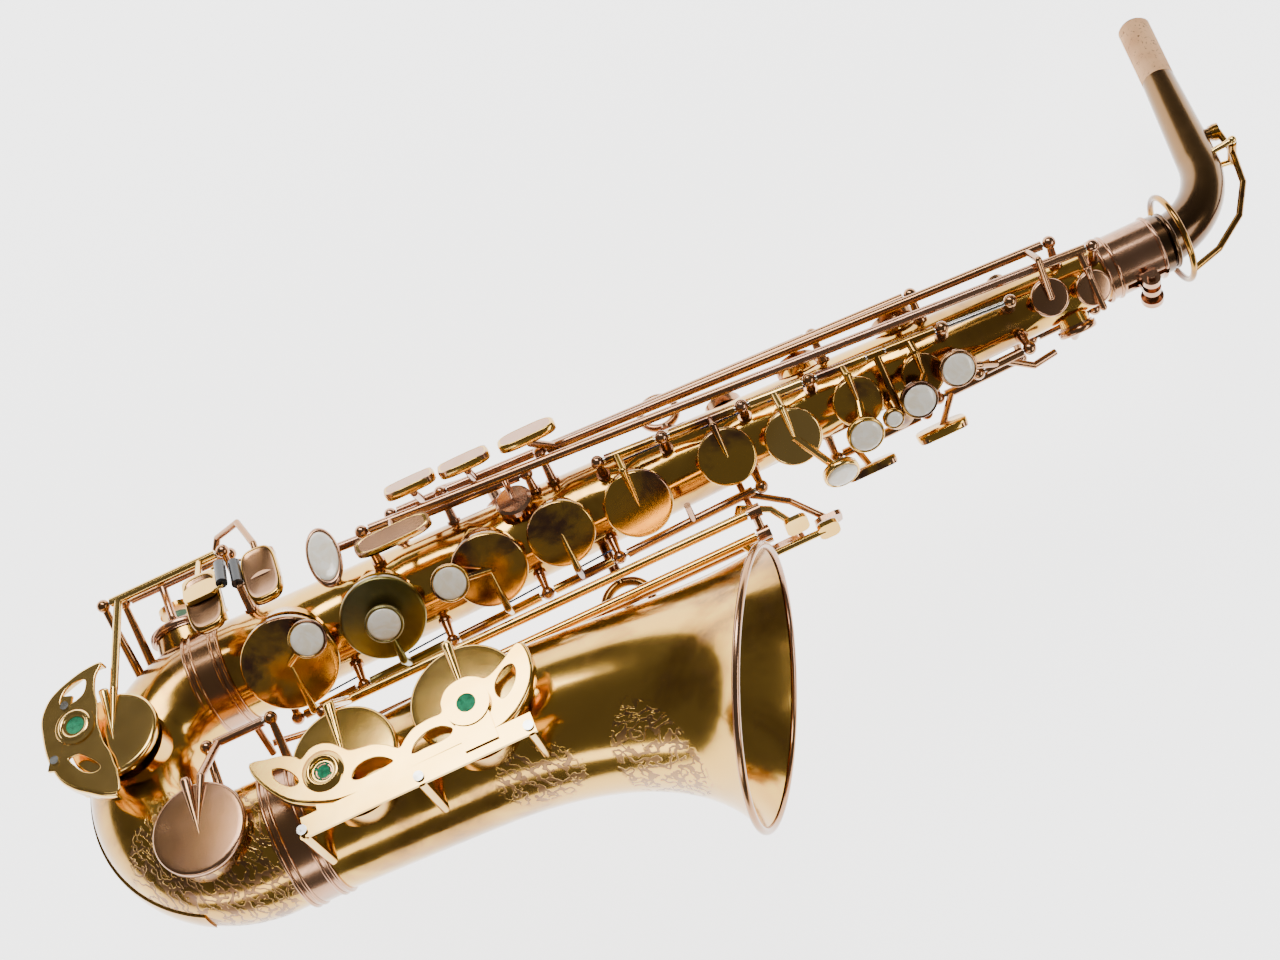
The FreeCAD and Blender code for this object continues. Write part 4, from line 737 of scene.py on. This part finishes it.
BELL_GUARD = [
    (-36, 14.5), (-30, 13), (-24, 11.6), (-18.5, 8.6), (-15.8, 6.2), (-11, 8.8), (-6.5, 9),
    (-2, 7), (1.5, 3.5),
    (4.5, 0.5), (9, -0.6), (14.8, -1.7), (20, -4.6), (24.6, -8.2), (28.5, -5.5), (33.2, -2.8),
    (40, -1.8),
    (46, -1.6), (47.4, 3), (51, 7.3), (56, 9.0), (61, 8.8), (65, 6.8), (68, 4.6), (72, 5.4), (78, 8.6),
    (84, 12.6), (87, 12.4), (88, 7), (87, 0), (84, -6), (79.3, -11), (74, -15), (67.2, -17.8),
    (58, -18.3),
    (49, -18), (34, -18.2), (19, -18.4), (4.1, -18.4), (-5, -17.4), (-11, -15.8), (-19, -12),
    (-25.6, -7.5),
    (-31, -1), (-35, 6), (-37, 12)]
BELL_GUARD_CUTS = [
    [(-29.3, 7.4), (-26, 7.2), (-22.5, 4.4), (-19.6, -0.4), (-19.8, -3.6), (-23.4, -3.6),
     (-27, -0.5), (-29.3, 3.6)],
    [(1.8, -11), (3.8, -8.4), (7.5, -6.8), (12, -6.6), (15.7, -7.7), (19, -10), (20.7, -12.4),
     (18, -13.3),
     (12, -13.8), (6, -13.9), (2.7, -13)],
    [(28.6, -12.6), (31, -9.3), (35.6, -6.9), (40, -6.2), (44.5, -7), (48.2, -10), (47, -12.4),
     (42, -13.6),
     (35, -13.4), (30.5, -13.6)],
    [(70, -2.9), (71, 0.5), (73.7, 3.6), (77.5, 5.8), (81, 5.6), (81.6, 2), (79.6, -2.4), (76, -6),
     (72.5, -7.6),
     (70.5, -6)]]
LOW_C_GUARD = [
    (32.8, 10.1), (30, 17), (26.4, 22.1), (21.5, 27.5), (16, 31.4), (8, 33), (-0.1, 31),
    (-11, 26.5), (-20.4, 19.5),
    (-25, 12.5), (-27.5, 4.8), (-29.5, -3), (-29.3, -9.4), (-25.5, -9.4), (-20, -7.5),
    (-16.5, -5.4), (-11, -2.5),
    (-6.3, 1.3), (-1, 4), (3.8, 6.1), (9, 7), (13.8, 8.3), (20, 10.6), (27, 11.4)]
LOW_C_CUTS = [
    [(15.5, 26.3), (20, 25.6), (23.9, 22.9), (26, 18.5), (25.6, 15.4), (22, 14.6), (18.2, 15.4),
     (15, 18.5),
     (13.4, 22), (13.4, 25.3)],
    [(-12.2, 16.7), (-10.3, 13), (-11, 9.9), (-14, 4), (-17.2, 0.3), (-19.5, 1.5), (-20.3, 5),
     (-19, 9.5),
     (-16.2, 13.4), (-14, 16)]]
SKIRT = [(-0.5, 0.6), (0.5, 0.5), (1.2, -0.2), (1.5, -1.4), (1.5, -5.6), (1.0, -6.0), (0.5, -5.6), (0.5, -1.6),
         (0.1, -0.8), (-0.6, -0.6)]


def build_guards():
    """Fretted sheets on top of the bell keys' and the low C key's guards, with rolled skirts and felt rings."""
    bell = SEATS["low_b_key"]
    level = 14.5 + 0.8
    rings = [(-8.5, -3.0), (57.5, -3.0)]
    outline = smooth_loop(BELL_GUARD)
    fret_plate("bell_guard_sheet", bell, level,
               [outline] + [smooth_loop(cut) for cut in BELL_GUARD_CUTS] + [ring_loop(r, 5.2) for r in rings],
               1.5, 0.4, BRIGHT, "horn")
    swept_edge("bell_guard_skirt", bell, level, outline[7 * 27:], SKIRT, BRIGHT, "horn")
    for index, (along, aside) in enumerate(rings):
        felt_ring("bell_guard_%d" % index, bell, level, along, aside, BRIGHT)
    low = SEATS["low_c_key"]
    level = 13.5 + 0.8
    outline = smooth_loop(LOW_C_GUARD)
    fret_plate("low_c_guard_sheet", low, level,
               [outline] + [smooth_loop(cut) for cut in LOW_C_CUTS] + [ring_loop((3.0, 16.5), 5.2)],
               1.5, 0.4, BRIGHT, "horn")
    swept_edge("low_c_guard_skirt", low, level, outline[:7 * 12], SKIRT, BRIGHT, "horn")
    felt_ring("low_c_guard", low, level, 3.0, 16.5, BRIGHT)


build_guards()


# ---------------------------------------------------------------- floor and light

def make_floor():
    """A wide pale sheet behind the horn, square to the view, seen from its front only."""
    low, high = Vector(cad_box[0]), Vector(cad_box[1])
    ahead = VIEW_AHEAD.normalized()
    depth = max(Vector((x, y, z)).dot(ahead) for x in (low.x, high.x) for y in (low.y, high.y)
                for z in (low.z, high.z)) + 0.004
    net = Net("pale_floor")
    tooth = net.noise(40.0, 3.0)
    back = net.node("ShaderNodeNewGeometry", {}, {}, "Backfacing")
    net.finish({"Base Color": net.mix(tooth, rgb(0.88, 0.88, 0.88), rgb(0.93, 0.93, 0.93)), "Roughness": 0.6,
                "Specular IOR Level": 0.2, "Emission Color": rgb(1.0, 1.0, 1.0), "Emission Strength": 3.0})
    clear = net.node("ShaderNodeBsdfTransparent", {}, {})
    both = net.node("ShaderNodeMixShader", {}, {0: back})
    mixer = both.socket.node
    net.tree.links.new(net.shader.outputs[0], mixer.inputs[1])
    net.tree.links.new(clear.socket, mixer.inputs[2])
    net.tree.links.new(mixer.outputs[0], net.end.inputs[0])
    mesh = bpy.data.meshes.new("floor")
    reach = 4.0
    right, up = VIEW_RIGHT.normalized(), VIEW_UP.normalized()
    middle = ahead * depth
    corners = [middle + right * a * reach + up * b * reach for a, b in ((-1, -1), (1, -1), (1, 1), (-1, 1))]
    mesh.from_pydata([tuple(c) for c in corners], [], [(0, 1, 2, 3)])
    mesh.materials.append(net.material)
    thing = bpy.data.objects.new("floor", mesh)
    bpy.context.scene.collection.objects.link(thing)


def soft_light(name, right, up, ahead, width, tall, watts, tint=(1.0, 1.0, 1.0)):
    """A soft box that far from the horn's middle along the view's own axes, aimed at it."""
    data = bpy.data.lights.new(name, "AREA")
    data.shape = "RECTANGLE"
    data.size, data.size_y = width, tall
    data.energy = watts
    data.color = tint
    thing = bpy.data.objects.new(name, data)
    bpy.context.scene.collection.objects.link(thing)
    spot = VIEW_RIGHT * right + VIEW_UP * up + VIEW_AHEAD * ahead
    look = (-spot).normalized()
    side = look.cross(VIEW_UP).normalized()
    aim(thing, side, side.cross(look), look, spot)


def make_world():
    """A dim warm room of one even tone."""
    world = bpy.data.worlds.new("studio")
    world.use_nodes = True
    tree = world.node_tree
    ground = tree.nodes["Background"]
    ground.inputs["Color"].default_value = (1.0, 0.97, 0.93, 1.0)
    ground.inputs["Strength"].default_value = 0.13
    bpy.context.scene.world = world


make_floor()
make_world()
soft_light("key_box", -0.5, 1.1, -1.1, 1.2, 0.5, 24.0)
soft_light("side_box", 1.3, -0.2, -1.0, 0.4, 1.2, 10.0)
soft_light("low_box", -0.4, -1.3, -0.7, 1.4, 0.3, 7.0)
